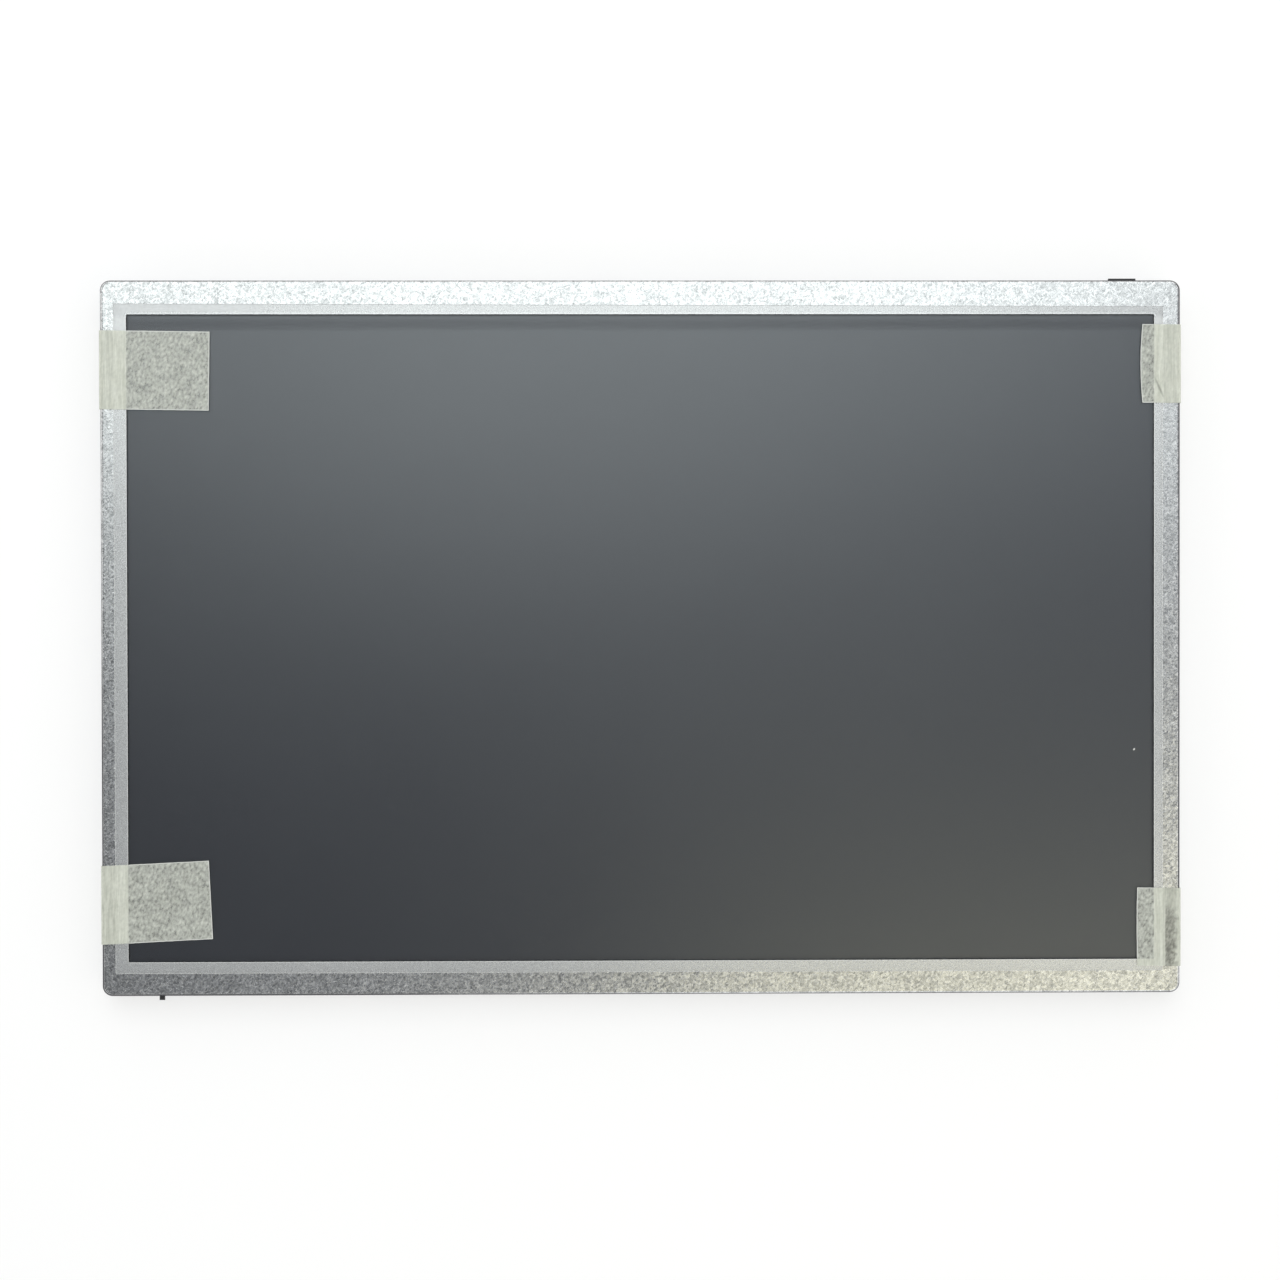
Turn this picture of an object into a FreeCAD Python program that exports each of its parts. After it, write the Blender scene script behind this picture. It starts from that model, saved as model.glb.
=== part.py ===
import FreeCAD, Part
import math
import os
import re
import Sketcher

# A 12.1 inch wide display module lying face up, its front film still held on by four tapes.
# X runs along the width of the picture, Y up the picture and Z from the back to the front.

# Driving sizes in millimetres and degrees
SIZES = {
    # Front bezel
    "opening_width": 264.3,
    "opening_height": 166.4,
    "opening_corner": 0.3,
    "border_side": 6.85,
    "border_end": 8.8,
    "bezel_sheet": 0.5,
    "bezel_bend": 0.9,
    "bezel_corner": 2.6,
    "skirt_drop": 1.3,
    "skirt_inset": 16.0,
    "window_play": 0.25,
    # Protective film
    "film_overlap_side": 3.3,
    "film_overlap_end": 2.95,
    "film_shift": 0.45,
    "film_sheet": 0.1,
    # Tapes
    "tape_width": 20.2,
    "tape_sheet": 0.15,
    "tape_fold": 0.4,
    "tape_upper_left_inset": 23.0,
    "tape_upper_left_front": 28.1,
    "tape_upper_left_rear": 10.0,
    "tape_upper_left_tilt": -0.8,
    "tape_lower_left_inset": 23.5,
    "tape_lower_left_front": 28.1,
    "tape_lower_left_rear": 11.0,
    "tape_lower_left_tilt": 2.8,
    "tape_upper_right_inset": 21.6,
    "tape_upper_right_front": 9.9,
    "tape_upper_right_rear": 15.0,
    "tape_upper_right_tilt": -0.5,
    "tape_lower_right_inset": 17.0,
    "tape_lower_right_front": 11.2,
    "tape_lower_right_rear": 14.0,
    "tape_lower_right_tilt": -1.0,
    # Liquid crystal cell
    "polarizer_sheet": 0.2,
    "polarizer_overlap": 0.8,
    "filter_glass": 0.5,
    "array_glass": 0.5,
    "glass_margin": 1.5,
    "bond_ledge": 3.3,
    "cell_play": 0.3,
    "lip_gap": 0.2,
    # Driver films and chips
    "driver_margin": 19.0,
    "driver_width": 40.0,
    "driver_sheet": 0.1,
    "driver_bend": 0.6,
    "driver_gap": 0.5,
    "driver_bond": 2.8,
    "driver_board_bond": 2.5,
    "chip_length": 22.0,
    "chip_width": 1.4,
    "chip_depth": 0.4,
    # Middle frame
    "ledge_depth": 0.7,
    "wall_gap": 0.2,
    "notch_depth": 1.3,
    "notch_play": 0.6,
    "latch_reach": 0.5,
    "latch_height": 0.7,
    "latch_width": 7.0,
    "latch_inset": 14.9,
    "hook_pitch": 46.0,
    "hook_width": 6.0,
    "hook_height": 1.2,
    "peg_width": 1.3,
    "peg_reach": 1.1,
    "peg_inset": 15.2,
    # Optical sheets and light guide
    "diffuser_sheet": 0.2,
    "prism_sheet": 0.2,
    "sheet_gap": 0.1,
    "guide_depth": 2.0,
    "guide_overlap": 0.8,
    "guide_play": 0.4,
    "ear_width": 8.0,
    "ear_reach": 1.0,
    "reflector_sheet": 0.2,
    # Light bar
    "led_count": 30,
    "led_margin": 5.0,
    "led_length": 3.0,
    "led_height": 1.4,
    "led_depth": 0.8,
    "led_gap": 0.2,
    "bar_flex": 0.2,
    "bar_tail_width": 5.0,
    "bar_tail_bond": 5.5,
    "bracket_sheet": 0.8,
    "bracket_toe": 1.8,
    # Rear chassis
    "chassis_sheet": 0.6,
    "plateau_depth": 2.8,
    "plateau_draft": 45.0,
    "plateau_corner": 7.0,
    "plateau_side_margin": 19.0,
    "plateau_top_margin": 11.0,
    "plateau_board_gap": 9.0,
    "bead_width": 9.0,
    "bead_depth": 0.5,
    "bead_inset": 24.0,
    "bead_pitch": 34.0,
    "wall_end": 6.0,
    "tongue_width": 3.9,
    "tongue_height": 1.2,
    "tongue_reach": 0.35,
    "tongue_first": 29.5,
    "tongue_second": 61.1,
    "tongue_third": 8.9,
    "tongue_fourth": 24.4,
    "tongue_fifth": 83.0,
    "mount_pitch": 90.0,
    "mount_rise": 1.7,
    "mount_thread": 1.25,
    "mount_clear": 1.7,
    "collar_radius": 1.95,
    "collar_length": 1.6,
    # Controller board
    "insulator_sheet": 0.1,
    "insulator_rim": 0.6,
    "board_sheet": 0.8,
    "board_margin": 21.0,
    "board_inset": 4.0,
    "board_depth": 26.0,
    "socket_pitch": 1.0,
    "socket_depth": 4.6,
    "socket_height": 1.5,
    "socket_setback": 0.5,
    "signal_pins": 20,
    "backlight_pins": 6,
    "contact_foot": 1.0,
    "contact_sheet": 0.3,
    # Screws
    "screw_head": 1.7,
    "screw_cap": 0.8,
    "screw_shank": 0.8,
    "screw_depth": 2.0,
    "screw_play": 0.05,
    "top_screw_inset": 69.0,
    "top_screw_drop": 2.5,
    "board_screw_end": 6.0,
    "board_screw_drop": 4.0,
}

# Places worked out from the driving sizes
PLACES = {
    # Outline and bezel
    "outline_x": "opening_width / 2 + border_side",
    "outline_y": "opening_height / 2 + border_end",
    "inner_x": "outline_x - bezel_sheet",
    "inner_y": "outline_y - bezel_sheet",
    # Levels from the back to the front
    "plate_rear": "plateau_depth",
    "plate_front": "plate_rear + chassis_sheet",
    "guide_rear": "plate_front + reflector_sheet",
    "guide_front": "guide_rear + guide_depth",
    "prism_rear": "guide_front + diffuser_sheet",
    "prism_front": "prism_rear + 2 * prism_sheet",
    "ledge_rear": "prism_front + diffuser_sheet + sheet_gap",
    "glass_rear": "ledge_rear + ledge_depth",
    "filter_rear": "glass_rear + array_glass",
    "filter_front": "filter_rear + filter_glass",
    "lip_rear": "filter_front + polarizer_sheet + lip_gap",
    "bezel_front": "lip_rear + bezel_sheet",
    "film_front": "bezel_front + film_sheet",
    "tape_turn": "tape_fold + 0.6 * tape_sheet",
    "board_front": "plate_rear - insulator_sheet",
    "board_rear": "board_front - board_sheet",
    # Cell
    "polarizer_x": "opening_width / 2 + polarizer_overlap",
    "polarizer_y": "opening_height / 2 + polarizer_overlap",
    "filter_x": "polarizer_x + glass_margin",
    "filter_y": "polarizer_y + glass_margin",
    "array_low": "filter_y + bond_ledge",
    # Middle frame: full size above the chassis walls, a slimmer core between them
    "frame_x": "inner_x - wall_gap",
    "frame_y": "inner_y - wall_gap",
    "core_x": "frame_x - chassis_sheet - wall_gap",
    "core_y": "frame_y - chassis_sheet - wall_gap",
    "inner_corner": "max(0.3; bezel_corner - bezel_sheet - wall_gap)",
    "core_corner": "max(0.1; inner_corner - chassis_sheet - wall_gap)",
    "window_x": "polarizer_x + cell_play",
    "window_y": "polarizer_y + cell_play",
    "notch_floor": "frame_y - notch_depth",
    "latch_x": "outline_x - latch_inset",
    "peg_x": "-(outline_x - peg_inset)",
    "latch_rear": "glass_rear + wall_gap / 2",
    "latch_front": "latch_rear + latch_height",
    # Light guide and light bar, the bar measured down from the middle of the picture
    "guide_x": "window_x + guide_overlap",
    "guide_y": "window_y + guide_overlap",
    "pocket_x": "guide_x + guide_play",
    "pocket_y": "guide_y + guide_play",
    "led_rear": "guide_y + led_gap + led_depth",
    "led_middle": "guide_rear + guide_depth / 2",
    "bar_rear": "led_rear + bar_flex",
    "bracket_rear": "bar_rear + bracket_sheet",
    "toe_end": "bracket_rear + bracket_toe",
    "led_first": "guide_x - led_margin",
    "led_pitch": "2 * led_first / (led_count - 1)",
    # Driver films
    "driver_pitch": "(outline_x - driver_margin) / 2",
    "driver_outer": "inner_y - driver_gap",
    "driver_inner": "driver_outer - driver_sheet",
    "driver_top": "filter_rear + driver_sheet",
    "driver_low": "board_rear - driver_sheet",
    # Chassis
    "wall_top": "glass_rear - wall_gap",
    "wall_x": "frame_x - chassis_sheet",
    "wall_y": "frame_y - chassis_sheet",
    "wall_low": "notch_floor - wall_end",
    "mount_level": "plate_front + mount_rise",
    "tongue_level": "plate_front + tongue_height",
    "hook_level": "plate_front + 1.5 * hook_height",
    "plateau_x": "outline_x - plateau_side_margin",
    "plateau_high": "outline_y - plateau_top_margin",
    "plateau_low": "board_high + plateau_board_gap",
    "plateau_middle": "(plateau_high + plateau_low) / 2",
    "bead_x": "plateau_x - bead_inset",
    # Board and screws
    "board_x": "outline_x - board_margin",
    "board_low": "-(outline_y - board_inset)",
    "board_high": "board_low + board_depth",
    "board_middle": "board_low + board_depth / 2",
    "notch_half": "bar_tail_width / 2 + notch_play",
    "socket_front": "board_high - socket_setback",
    "socket_back": "socket_front - socket_depth",
    "top_screw_x": "outline_x - top_screw_inset",
    "top_screw_y": "core_y - top_screw_drop",
    "board_screw_x": "board_x - board_screw_end",
    "board_screw_y": "board_high - board_screw_drop",
    "screw_hole": "screw_shank + screw_play",
}

# Tongue middles along the top wall
TONGUES = (
    "tongue_first - outline_x",
    "tongue_second - outline_x",
    "-tongue_third",
    "tongue_fourth",
    "outline_x - tongue_fifth",
)

# Board screw places as parts of the half length between the outermost two
BOARD_SCREWS = ("(-1)", "(-1 / 3)", "(1 / 3)", "1")

WORD = re.compile(r"[a-z][a-z_]*")

doc = FreeCAD.newDocument("display_module")
sheet = doc.addObject("Spreadsheet::Sheet", "Sizes")
for row, (name, value) in enumerate(SIZES.items(), 1):
    sheet.set(f"A{row}", name)
    sheet.set(f"B{row}", str(value))
    sheet.setAlias(f"B{row}", name)
doc.recompute()
pieces = []


# Formulas, bodies and sketches

def cells(formula):
    """Write a formula of size and place names as one on the cells of the sheet."""
    def cell(found):
        name = found.group()
        if name in PLACES:
            return "(" + cells(PLACES[name]) + ")"
        return "Sizes." + name if name in SIZES else name
    return WORD.sub(cell, formula)


def bind(thing, setting, formula):
    thing.setExpression(setting, cells(formula))


def new_body(label, kept=True):
    body = doc.addObject("PartDesign::Body", label)
    body.Label = label
    if kept:
        pieces.append(body)
    return body


def origin_part(body, role):
    return next(item for item in body.Origin.OriginFeatures if item.Role == role)


def sketch_on(body, role, lift):
    sketch = body.newObject("Sketcher::SketchObject", "sketch")
    sketch.AttachmentSupport = [(origin_part(body, role), "")]
    sketch.MapMode = "FlatFace"
    bind(sketch, "AttachmentOffset.Base.z", lift)
    return sketch


def fix_point(sketch, geometry, spot, x, y):
    for kind, formula in (("DistanceX", x), ("DistanceY", y)):
        index = sketch.addConstraint(Sketcher.Constraint(kind, -1, 1, geometry, spot, 1.0))
        bind(sketch, f"Constraints[{index}]", formula)


def draw(sketch, corners):
    first = sketch.GeometryCount
    count = len(corners)
    ring = [2 * math.pi * step / count for step in range(count + 1)]
    spots = [FreeCAD.Vector(math.cos(turn), math.sin(turn), 0) for turn in ring]
    for step in range(count):
        sketch.addGeometry(Part.LineSegment(spots[step], spots[step + 1]))
    for step, (x, y) in enumerate(corners):
        after = first + (step + 1) % count
        sketch.addConstraint(Sketcher.Constraint("Coincident", first + step, 2, after, 1))
        fix_point(sketch, first + step, 1, x, y)


def draw_box(sketch, left, right, low, high):
    draw(sketch, [(left, low), (right, low), (right, high), (left, high)])


def draw_circle(sketch, x, y, radius):
    middle = FreeCAD.Vector(0, 0, 0)
    index = sketch.addGeometry(Part.Circle(middle, FreeCAD.Vector(0, 0, 1), 1.0))
    fix_point(sketch, index, 3, x, y)
    size = sketch.addConstraint(Sketcher.Constraint("Radius", index, 1.0))
    bind(sketch, f"Constraints[{size}]", radius)


# Solid features, each checked to have added or removed material

def volume(body):
    return body.Shape.Volume if body.Tip else 0.0


def swept(body, kind, sketch, depth, back, draft):
    before = volume(body)
    feature = body.newObject(kind, kind.split("::")[1].lower())
    feature.Profile = sketch
    feature.Reversed = back
    bind(feature, "Length", depth)
    if draft:
        bind(feature, "TaperAngle", draft)
    doc.recompute()
    grown = volume(body) - before
    if (grown > 0) != (kind == "PartDesign::Pad") or abs(grown) < 1e-6:
        raise RuntimeError(f"{body.Label} {feature.Name} changed the volume by {grown}")
    return feature


def pad(body, sketch, depth, back=False, draft=None):
    return swept(body, "PartDesign::Pad", sketch, depth, back, draft)


def pocket(body, sketch, depth, back=False, draft=None):
    return swept(body, "PartDesign::Pocket", sketch, depth, back, draft)


def revolve(body, sketch):
    feature = body.newObject("PartDesign::Revolution", "revolution")
    feature.Profile = sketch
    feature.ReferenceAxis = (sketch, ["V_Axis"])
    feature.Angle = 360
    doc.recompute()
    return feature


def fillet(body, radius, wanted, kind="PartDesign::Fillet"):
    base = body.Tip
    names = [f"Edge{at}" for at, edge in enumerate(base.Shape.Edges, 1) if wanted(edge)]
    if not names:
        raise RuntimeError(f"{body.Label} has no edge to round")
    feature = body.newObject(kind, kind.split("::")[1].lower())
    feature.Base = (base, names)
    bind(feature, "Radius" if kind == "PartDesign::Fillet" else "Size", radius)
    doc.recompute()
    return feature


def chamfer(body, size, wanted):
    return fillet(body, size, wanted, "PartDesign::Chamfer")


def repeat(body, features, axis, pitch, count):
    pattern = body.newObject("PartDesign::LinearPattern", "row")
    pattern.Originals = features
    pattern.Direction = (origin_part(body, axis), [""])
    pattern.Mode = "Spacing"
    bind(pattern, "Offset", pitch)
    bind(pattern, "Occurrences", count)
    body.Tip = pattern
    doc.recompute()
    return pattern


def combine(kind, label, base, tool):
    piece = doc.addObject(kind, label)
    piece.Label = label
    piece.Base = base
    piece.Tool = tool
    pieces.append(piece)


# Ways of choosing edges

def ends(edge):
    return edge.Vertexes[0].Point, edge.Vertexes[-1].Point


def upright(edge):
    start, end = ends(edge)
    return abs(start.x - end.x) + abs(start.y - end.y) < 1e-6 < abs(start.z - end.z)


def upright_above(height):
    return lambda edge: upright(edge) and edge.BoundBox.ZMin > height - 1e-3


def level(body, pick):
    """Choose the edges lying wholly at the body's highest or lowest level."""
    height = pick(vertex.Z for vertex in body.Shape.Vertexes)
    return lambda edge: all(abs(vertex.Z - height) < 1e-6 for vertex in edge.Vertexes)


def sheet_piece(label, x, low, high, rear, depth):
    """A flat rectangular sheet, even about the middle line."""
    body = new_body(label)
    face = sketch_on(body, "XY_Plane", rear)
    draw_box(face, f"-({x})", x, low, high)
    pad(body, face, depth)
    return body


# Front bezel, film and tapes

def front_bezel():
    """The folded sheet: its outside less the room inside, the opening, the windows and the holes."""
    outside = new_body("front_bezel_outside", kept=False)
    block = sketch_on(outside, "XY_Plane", "plate_rear")
    draw_box(block, "-outline_x", "outline_x", "-outline_y", "outline_y")
    pad(outside, block, "bezel_front - plate_rear")
    fillet(outside, "bezel_corner", upright)
    fillet(outside, "bezel_bend", level(outside, max))
    skirt = sketch_on(outside, "XY_Plane", "plate_rear")
    draw_box(skirt, "skirt_inset - outline_x", "outline_x - skirt_inset", "-outline_y", "-inner_y")
    pad(outside, skirt, "skirt_drop", back=True)
    inside = new_body("front_bezel_inside", kept=False)
    room = sketch_on(inside, "XY_Plane", "plate_rear - skirt_drop")
    draw_box(room, "-inner_x", "inner_x", "-inner_y", "inner_y")
    pad(inside, room, "lip_rear - plate_rear + skirt_drop")
    fillet(inside, "bezel_corner - bezel_sheet", upright)
    chamfer(inside, "0.6 * (bezel_bend - bezel_sheet)", level(inside, max))
    opening = sketch_on(inside, "XY_Plane", "lip_rear")
    draw_box(opening, "-opening_width / 2", "opening_width / 2",
             "-opening_height / 2", "opening_height / 2")
    top = inside.Shape.BoundBox.ZMax
    pad(inside, opening, "2 * bezel_sheet")
    chamfer(inside, "opening_corner", upright_above(top))
    bezel_windows(inside)
    combine("Part::Cut", "front_bezel", outside, inside)


def bezel_windows(inside):
    """Windows for the tongues, the latch and the peg, and holes at the side mounts."""
    top = sketch_on(inside, "XZ_Plane", "bezel_bend - outline_y")
    for x in TONGUES:
        draw_box(top, f"{x} - tongue_width / 2 - window_play", f"{x} + tongue_width / 2 + window_play",
                 "tongue_level - tongue_height / 2 - window_play",
                 "tongue_level + tongue_height / 2 + window_play")
    draw_box(top, "latch_x - latch_width / 2 - window_play", "latch_x + latch_width / 2 + window_play",
             "latch_rear - window_play / 2", "latch_front + window_play / 2")
    pad(inside, top, "2 * bezel_bend", back=True)
    low = sketch_on(inside, "XZ_Plane", "outline_y - bezel_bend")
    draw_box(low, "peg_x - peg_width / 2 - window_play", "peg_x + peg_width / 2 + window_play",
             "latch_rear - window_play / 2", "latch_front + window_play / 2")
    pad(inside, low, "2 * bezel_bend")
    holes = sketch_on(inside, "YZ_Plane", "-outline_x - bezel_sheet")
    for end in (-1, 1):
        draw_circle(holes, f"{end} * mount_pitch / 2", "mount_level", "mount_clear")
    pad(inside, holes, "2 * (outline_x + bezel_sheet)")


def protective_film():
    body = new_body("protective_film")
    face = sketch_on(body, "XY_Plane", "bezel_front")
    reach_x = "opening_width / 2 + film_overlap_side"
    reach_y = "opening_height / 2 + film_overlap_end"
    draw_box(face, f"-film_shift - ({reach_x})", f"{reach_x} - film_shift", f"-({reach_y})", reach_y)
    pad(body, face, "film_sheet")


def tape(name, side, end, slack):
    """A strip folded over one side wall, cut from its folded profile by a slightly turned block."""
    middle = f"({end} * (outline_y - {name}_inset))"
    edge = f"({side} * outline_x)"
    front = f"{edge} - {side} * ({name}_front + {slack})"
    rear = f"{edge} - {side} * {name}_rear"
    outer = f"{edge} + {side} * tape_sheet"
    top = "film_front + tape_sheet"
    low = "plate_rear - tape_sheet"
    strip = new_body(name + "_strip", kept=False)
    profile = sketch_on(strip, "XZ_Plane", f"-({middle} + tape_width)")
    draw(profile, [
        (front, top), (f"{outer} - {side} * tape_turn", top), (outer, f"{top} - tape_turn"),
        (outer, low), (rear, low), (rear, "plate_rear"), (edge, "plate_rear"),
        (edge, "film_front - tape_fold"), (f"{edge} - {side} * tape_fold", "film_front"),
        (front, "film_front"),
    ])
    pad(strip, profile, "2 * tape_width")
    reach = f"max({name}_front; {name}_rear)"
    start = "(-2)" if side < 0 else f"(-{reach})"
    block = doc.addObject("Part::Box", name + "_block")
    bind(block, "Length", f"{reach} + 2")
    bind(block, "Width", "tape_width")
    bind(block, "Height", "film_front + 2 * tape_sheet")
    bind(block, "Placement.Rotation.Angle", f"{name}_tilt")
    bind(block, "Placement.Base.x",
         f"{edge} + {start} * cos({name}_tilt) + tape_width / 2 * sin({name}_tilt)")
    bind(block, "Placement.Base.y",
         f"{middle} + {start} * sin({name}_tilt) - tape_width / 2 * cos({name}_tilt)")
    combine("Part::Common", name, strip, block)


# Liquid crystal cell and its driver films

def cell():
    sheet_piece("front_polarizer", "polarizer_x", "-polarizer_y", "polarizer_y",
                "filter_front", "polarizer_sheet")
    sheet_piece("colour_filter_glass", "filter_x", "-filter_y", "filter_y",
                "filter_rear", "filter_glass")
    sheet_piece("array_glass", "filter_x", "-array_low", "filter_y", "glass_rear", "array_glass")
    sheet_piece("rear_polarizer", "polarizer_x", "-polarizer_y", "polarizer_y",
                "glass_rear - polarizer_sheet", "polarizer_sheet")


def driver(number):
    """A film from the glass ledge round the lower edge onto the board, with its chip inside the bend."""
    step = number - 2.5
    film = new_body(f"driver_film_{number}")
    profile = sketch_on(film, "YZ_Plane", "-driver_width / 2")
    bond = "driver_bond - array_low"
    foot = "board_low + driver_board_bond"
    draw(profile, [
        (bond, "driver_top"), ("driver_bend - driver_outer", "driver_top"),
        ("-driver_outer", "driver_top - driver_bend"), ("-driver_outer", "driver_low + driver_bend"),
        ("driver_bend - driver_outer", "driver_low"), (foot, "driver_low"), (foot, "board_rear"),
        ("driver_bend - driver_outer", "board_rear"), ("-driver_inner", "driver_low + driver_bend"),
        ("-driver_inner", "driver_top - driver_bend"), ("driver_bend - driver_outer", "filter_rear"),
        (bond, "filter_rear"),
    ])
    pad(film, profile, "driver_width")
    bind(film, "Placement.Base.x", f"{step} * driver_pitch")
    chip = new_body(f"driver_chip_{number}")
    face = sketch_on(chip, "XZ_Plane", "driver_inner")
    draw_box(face, "-chip_length / 2", "chip_length / 2",
             "led_middle - chip_width / 2", "led_middle + chip_width / 2")
    pad(chip, face, "chip_depth", back=True)
    bind(chip, "Placement.Base.x", f"{step} * driver_pitch")


# Middle frame

def middle_frame():
    body = new_body("middle_frame")
    core = sketch_on(body, "XY_Plane", "plate_front")
    draw_box(core, "-core_x", "core_x", "-frame_y", "core_y")
    pad(body, core, "glass_rear - plate_front")
    fillet(body, "core_corner", upright)
    top = body.Shape.BoundBox.ZMax
    flange = sketch_on(body, "XY_Plane", "glass_rear")
    draw_box(flange, "-frame_x", "frame_x", "-frame_y", "frame_y")
    pad(body, flange, "lip_rear - glass_rear")
    fillet(body, "inner_corner", upright_above(top))
    chamfer(body, "bezel_bend - bezel_sheet", level(body, max))
    frame_pockets(body)
    frame_notches(body)
    frame_latches(body)


def frame_pockets(body):
    seat = sketch_on(body, "XY_Plane", "lip_rear")
    draw_box(seat, "-(filter_x + cell_play)", "filter_x + cell_play",
             "-(array_low + cell_play)", "filter_y + cell_play")
    pocket(body, seat, "lip_rear - glass_rear")
    window = sketch_on(body, "XY_Plane", "glass_rear")
    draw_box(window, "-window_x", "window_x", "-window_y", "window_y")
    pocket(body, window, "glass_rear - plate_front")
    well = sketch_on(body, "XY_Plane", "plate_front")
    ear = "ear_width / 2 + guide_play"
    reach = "pocket_x + ear_reach"
    low = "-(bracket_rear + guide_play)"
    draw(well, [
        ("-pocket_x", low), ("pocket_x", low), ("pocket_x", f"-({ear})"), (reach, f"-({ear})"),
        (reach, ear), ("pocket_x", ear), ("pocket_x", "pocket_y"), ("-pocket_x", "pocket_y"),
        ("-pocket_x", ear), (f"-({reach})", ear), (f"-({reach})", f"-({ear})"),
        ("-pocket_x", f"-({ear})"),
    ])
    pocket(body, well, "ledge_rear - plate_front", back=True)
    toe = sketch_on(body, "XY_Plane", "plate_front")
    draw_box(toe, "-pocket_x", "pocket_x", "-(toe_end + guide_play)", "-bar_rear")
    pocket(body, toe, "bracket_sheet + guide_play", back=True)


def frame_notches(body):
    """Clearance for the driver films, the threaded collars and the screws."""
    reach = "driver_width / 2 + notch_play"
    first = "-1.5 * driver_pitch"
    dip = sketch_on(body, "XY_Plane", "lip_rear")
    draw_box(dip, f"{first} - ({reach})", f"{first} + {reach}", "-frame_y - 1", "-array_low")
    over = pocket(body, dip, "lip_rear - glass_rear")
    slot = sketch_on(body, "XY_Plane", "plate_front")
    draw_box(slot, f"{first} - ({reach})", f"{first} + {reach}", "-frame_y - 1", "-notch_floor")
    beside = pocket(body, slot, "lip_rear - plate_front", back=True)
    repeat(body, [over, beside], "X_Axis", "driver_pitch", "4")
    relief = sketch_on(body, "XY_Plane", "plate_front")
    for side in (-1, 1):
        for end in (-1, 1):
            middle = f"{end} * mount_pitch / 2"
            draw_box(relief, f"{side} * (core_x - collar_length)", f"{side} * (core_x + wall_gap)",
                     f"{middle} - collar_radius - cell_play", f"{middle} + collar_radius + cell_play")
    pocket(body, relief, "glass_rear - plate_front", back=True)
    holes = sketch_on(body, "XY_Plane", "plate_front")
    draw_screw_places(holes, "screw_hole")
    pocket(body, holes, "screw_depth", back=True)


def frame_latches(body):
    """A latch and a peg through the bezel's walls, and hooks into the chassis walls."""
    latch = sketch_on(body, "XY_Plane", "latch_rear")
    draw_box(latch, "latch_x - latch_width / 2", "latch_x + latch_width / 2",
             "frame_y - wall_gap", "outline_y + latch_reach")
    draw_box(latch, "peg_x - peg_width / 2", "peg_x + peg_width / 2",
             "-(outline_y + peg_reach)", "wall_gap - frame_y")
    pad(body, latch, "latch_height")
    for side in (-1, 1):
        hooks = sketch_on(body, "YZ_Plane", f"{side} * core_x")
        draw_hooks(hooks, "0")
        pad(body, hooks, "wall_gap + 0.8 * chassis_sheet", back=side < 0)


def draw_screw_places(sketch, radius):
    for side in (-1, 1):
        draw_circle(sketch, f"{side} * top_screw_x", "top_screw_y", radius)


def draw_hooks(sketch, play):
    """Four hooks on the frame's sides, or with play the windows they catch in."""
    for end in (-1, 1):
        middle = f"{end} * hook_pitch / 2"
        draw_box(sketch, f"{middle} - hook_width / 2 - {play}", f"{middle} + hook_width / 2 + {play}",
                 f"hook_level - hook_height / 2 - {play}", f"hook_level + hook_height / 2 + {play}")


# Backlight

def eared_sheet(label, rear, depth):
    """A sheet over the whole light guide with a locating ear at each side."""
    body = new_body(label)
    face = sketch_on(body, "XY_Plane", rear)
    ear = "ear_width / 2"
    reach = "guide_x + ear_reach"
    draw(face, [
        ("-guide_x", "-guide_y"), ("guide_x", "-guide_y"), ("guide_x", f"-{ear}"), (reach, f"-{ear}"),
        (reach, ear), ("guide_x", ear), ("guide_x", "guide_y"), ("-guide_x", "guide_y"),
        ("-guide_x", ear), (f"-({reach})", ear), (f"-({reach})", f"-{ear}"), ("-guide_x", f"-{ear}"),
    ])
    pad(body, face, depth)


def backlight():
    eared_sheet("upper_diffuser", "prism_front", "diffuser_sheet")
    eared_sheet("upper_prism_sheet", "prism_rear + prism_sheet", "prism_sheet")
    eared_sheet("lower_prism_sheet", "prism_rear", "prism_sheet")
    eared_sheet("lower_diffuser", "guide_front", "diffuser_sheet")
    eared_sheet("light_guide", "guide_rear", "guide_depth")
    eared_sheet("reflector_sheet", "plate_front", "reflector_sheet")


def light_bar():
    flex = new_body("light_bar_flex")
    strip = sketch_on(flex, "XZ_Plane", "led_rear")
    left = "driver_pitch - bar_tail_width / 2"
    right = "driver_pitch + bar_tail_width / 2"
    draw(strip, [
        ("-guide_x", "guide_rear"), (left, "guide_rear"), (left, "board_rear - bar_flex"),
        (right, "board_rear - bar_flex"), (right, "guide_rear"), ("guide_x", "guide_rear"),
        ("guide_x", "guide_front"), ("-guide_x", "guide_front"),
    ])
    pad(flex, strip, "bar_flex")
    tail = sketch_on(flex, "XY_Plane", "board_rear")
    draw_box(tail, left, right, "-bar_rear", "bar_tail_bond - led_rear")
    pad(flex, tail, "bar_flex", back=True)
    leds = new_body("light_bar_leds")
    case = sketch_on(leds, "XZ_Plane", "led_rear")
    draw_box(case, "-led_first - led_length / 2", "led_length / 2 - led_first",
             "led_middle - led_height / 2", "led_middle + led_height / 2")
    cased = pad(leds, case, "led_depth", back=True)
    repeat(leds, [cased], "X_Axis", "led_pitch", "led_count")
    bracket = new_body("light_bar_bracket")
    angle = sketch_on(bracket, "YZ_Plane", "-guide_x")
    draw(angle, [
        ("-bar_rear", "plate_front"), ("-bar_rear", "guide_front"), ("-bracket_rear", "guide_front"),
        ("-bracket_rear", "plate_front + bracket_sheet"), ("-toe_end", "plate_front + bracket_sheet"),
        ("-toe_end", "plate_front"),
    ])
    pad(bracket, angle, "2 * guide_x")


# Rear chassis

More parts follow.
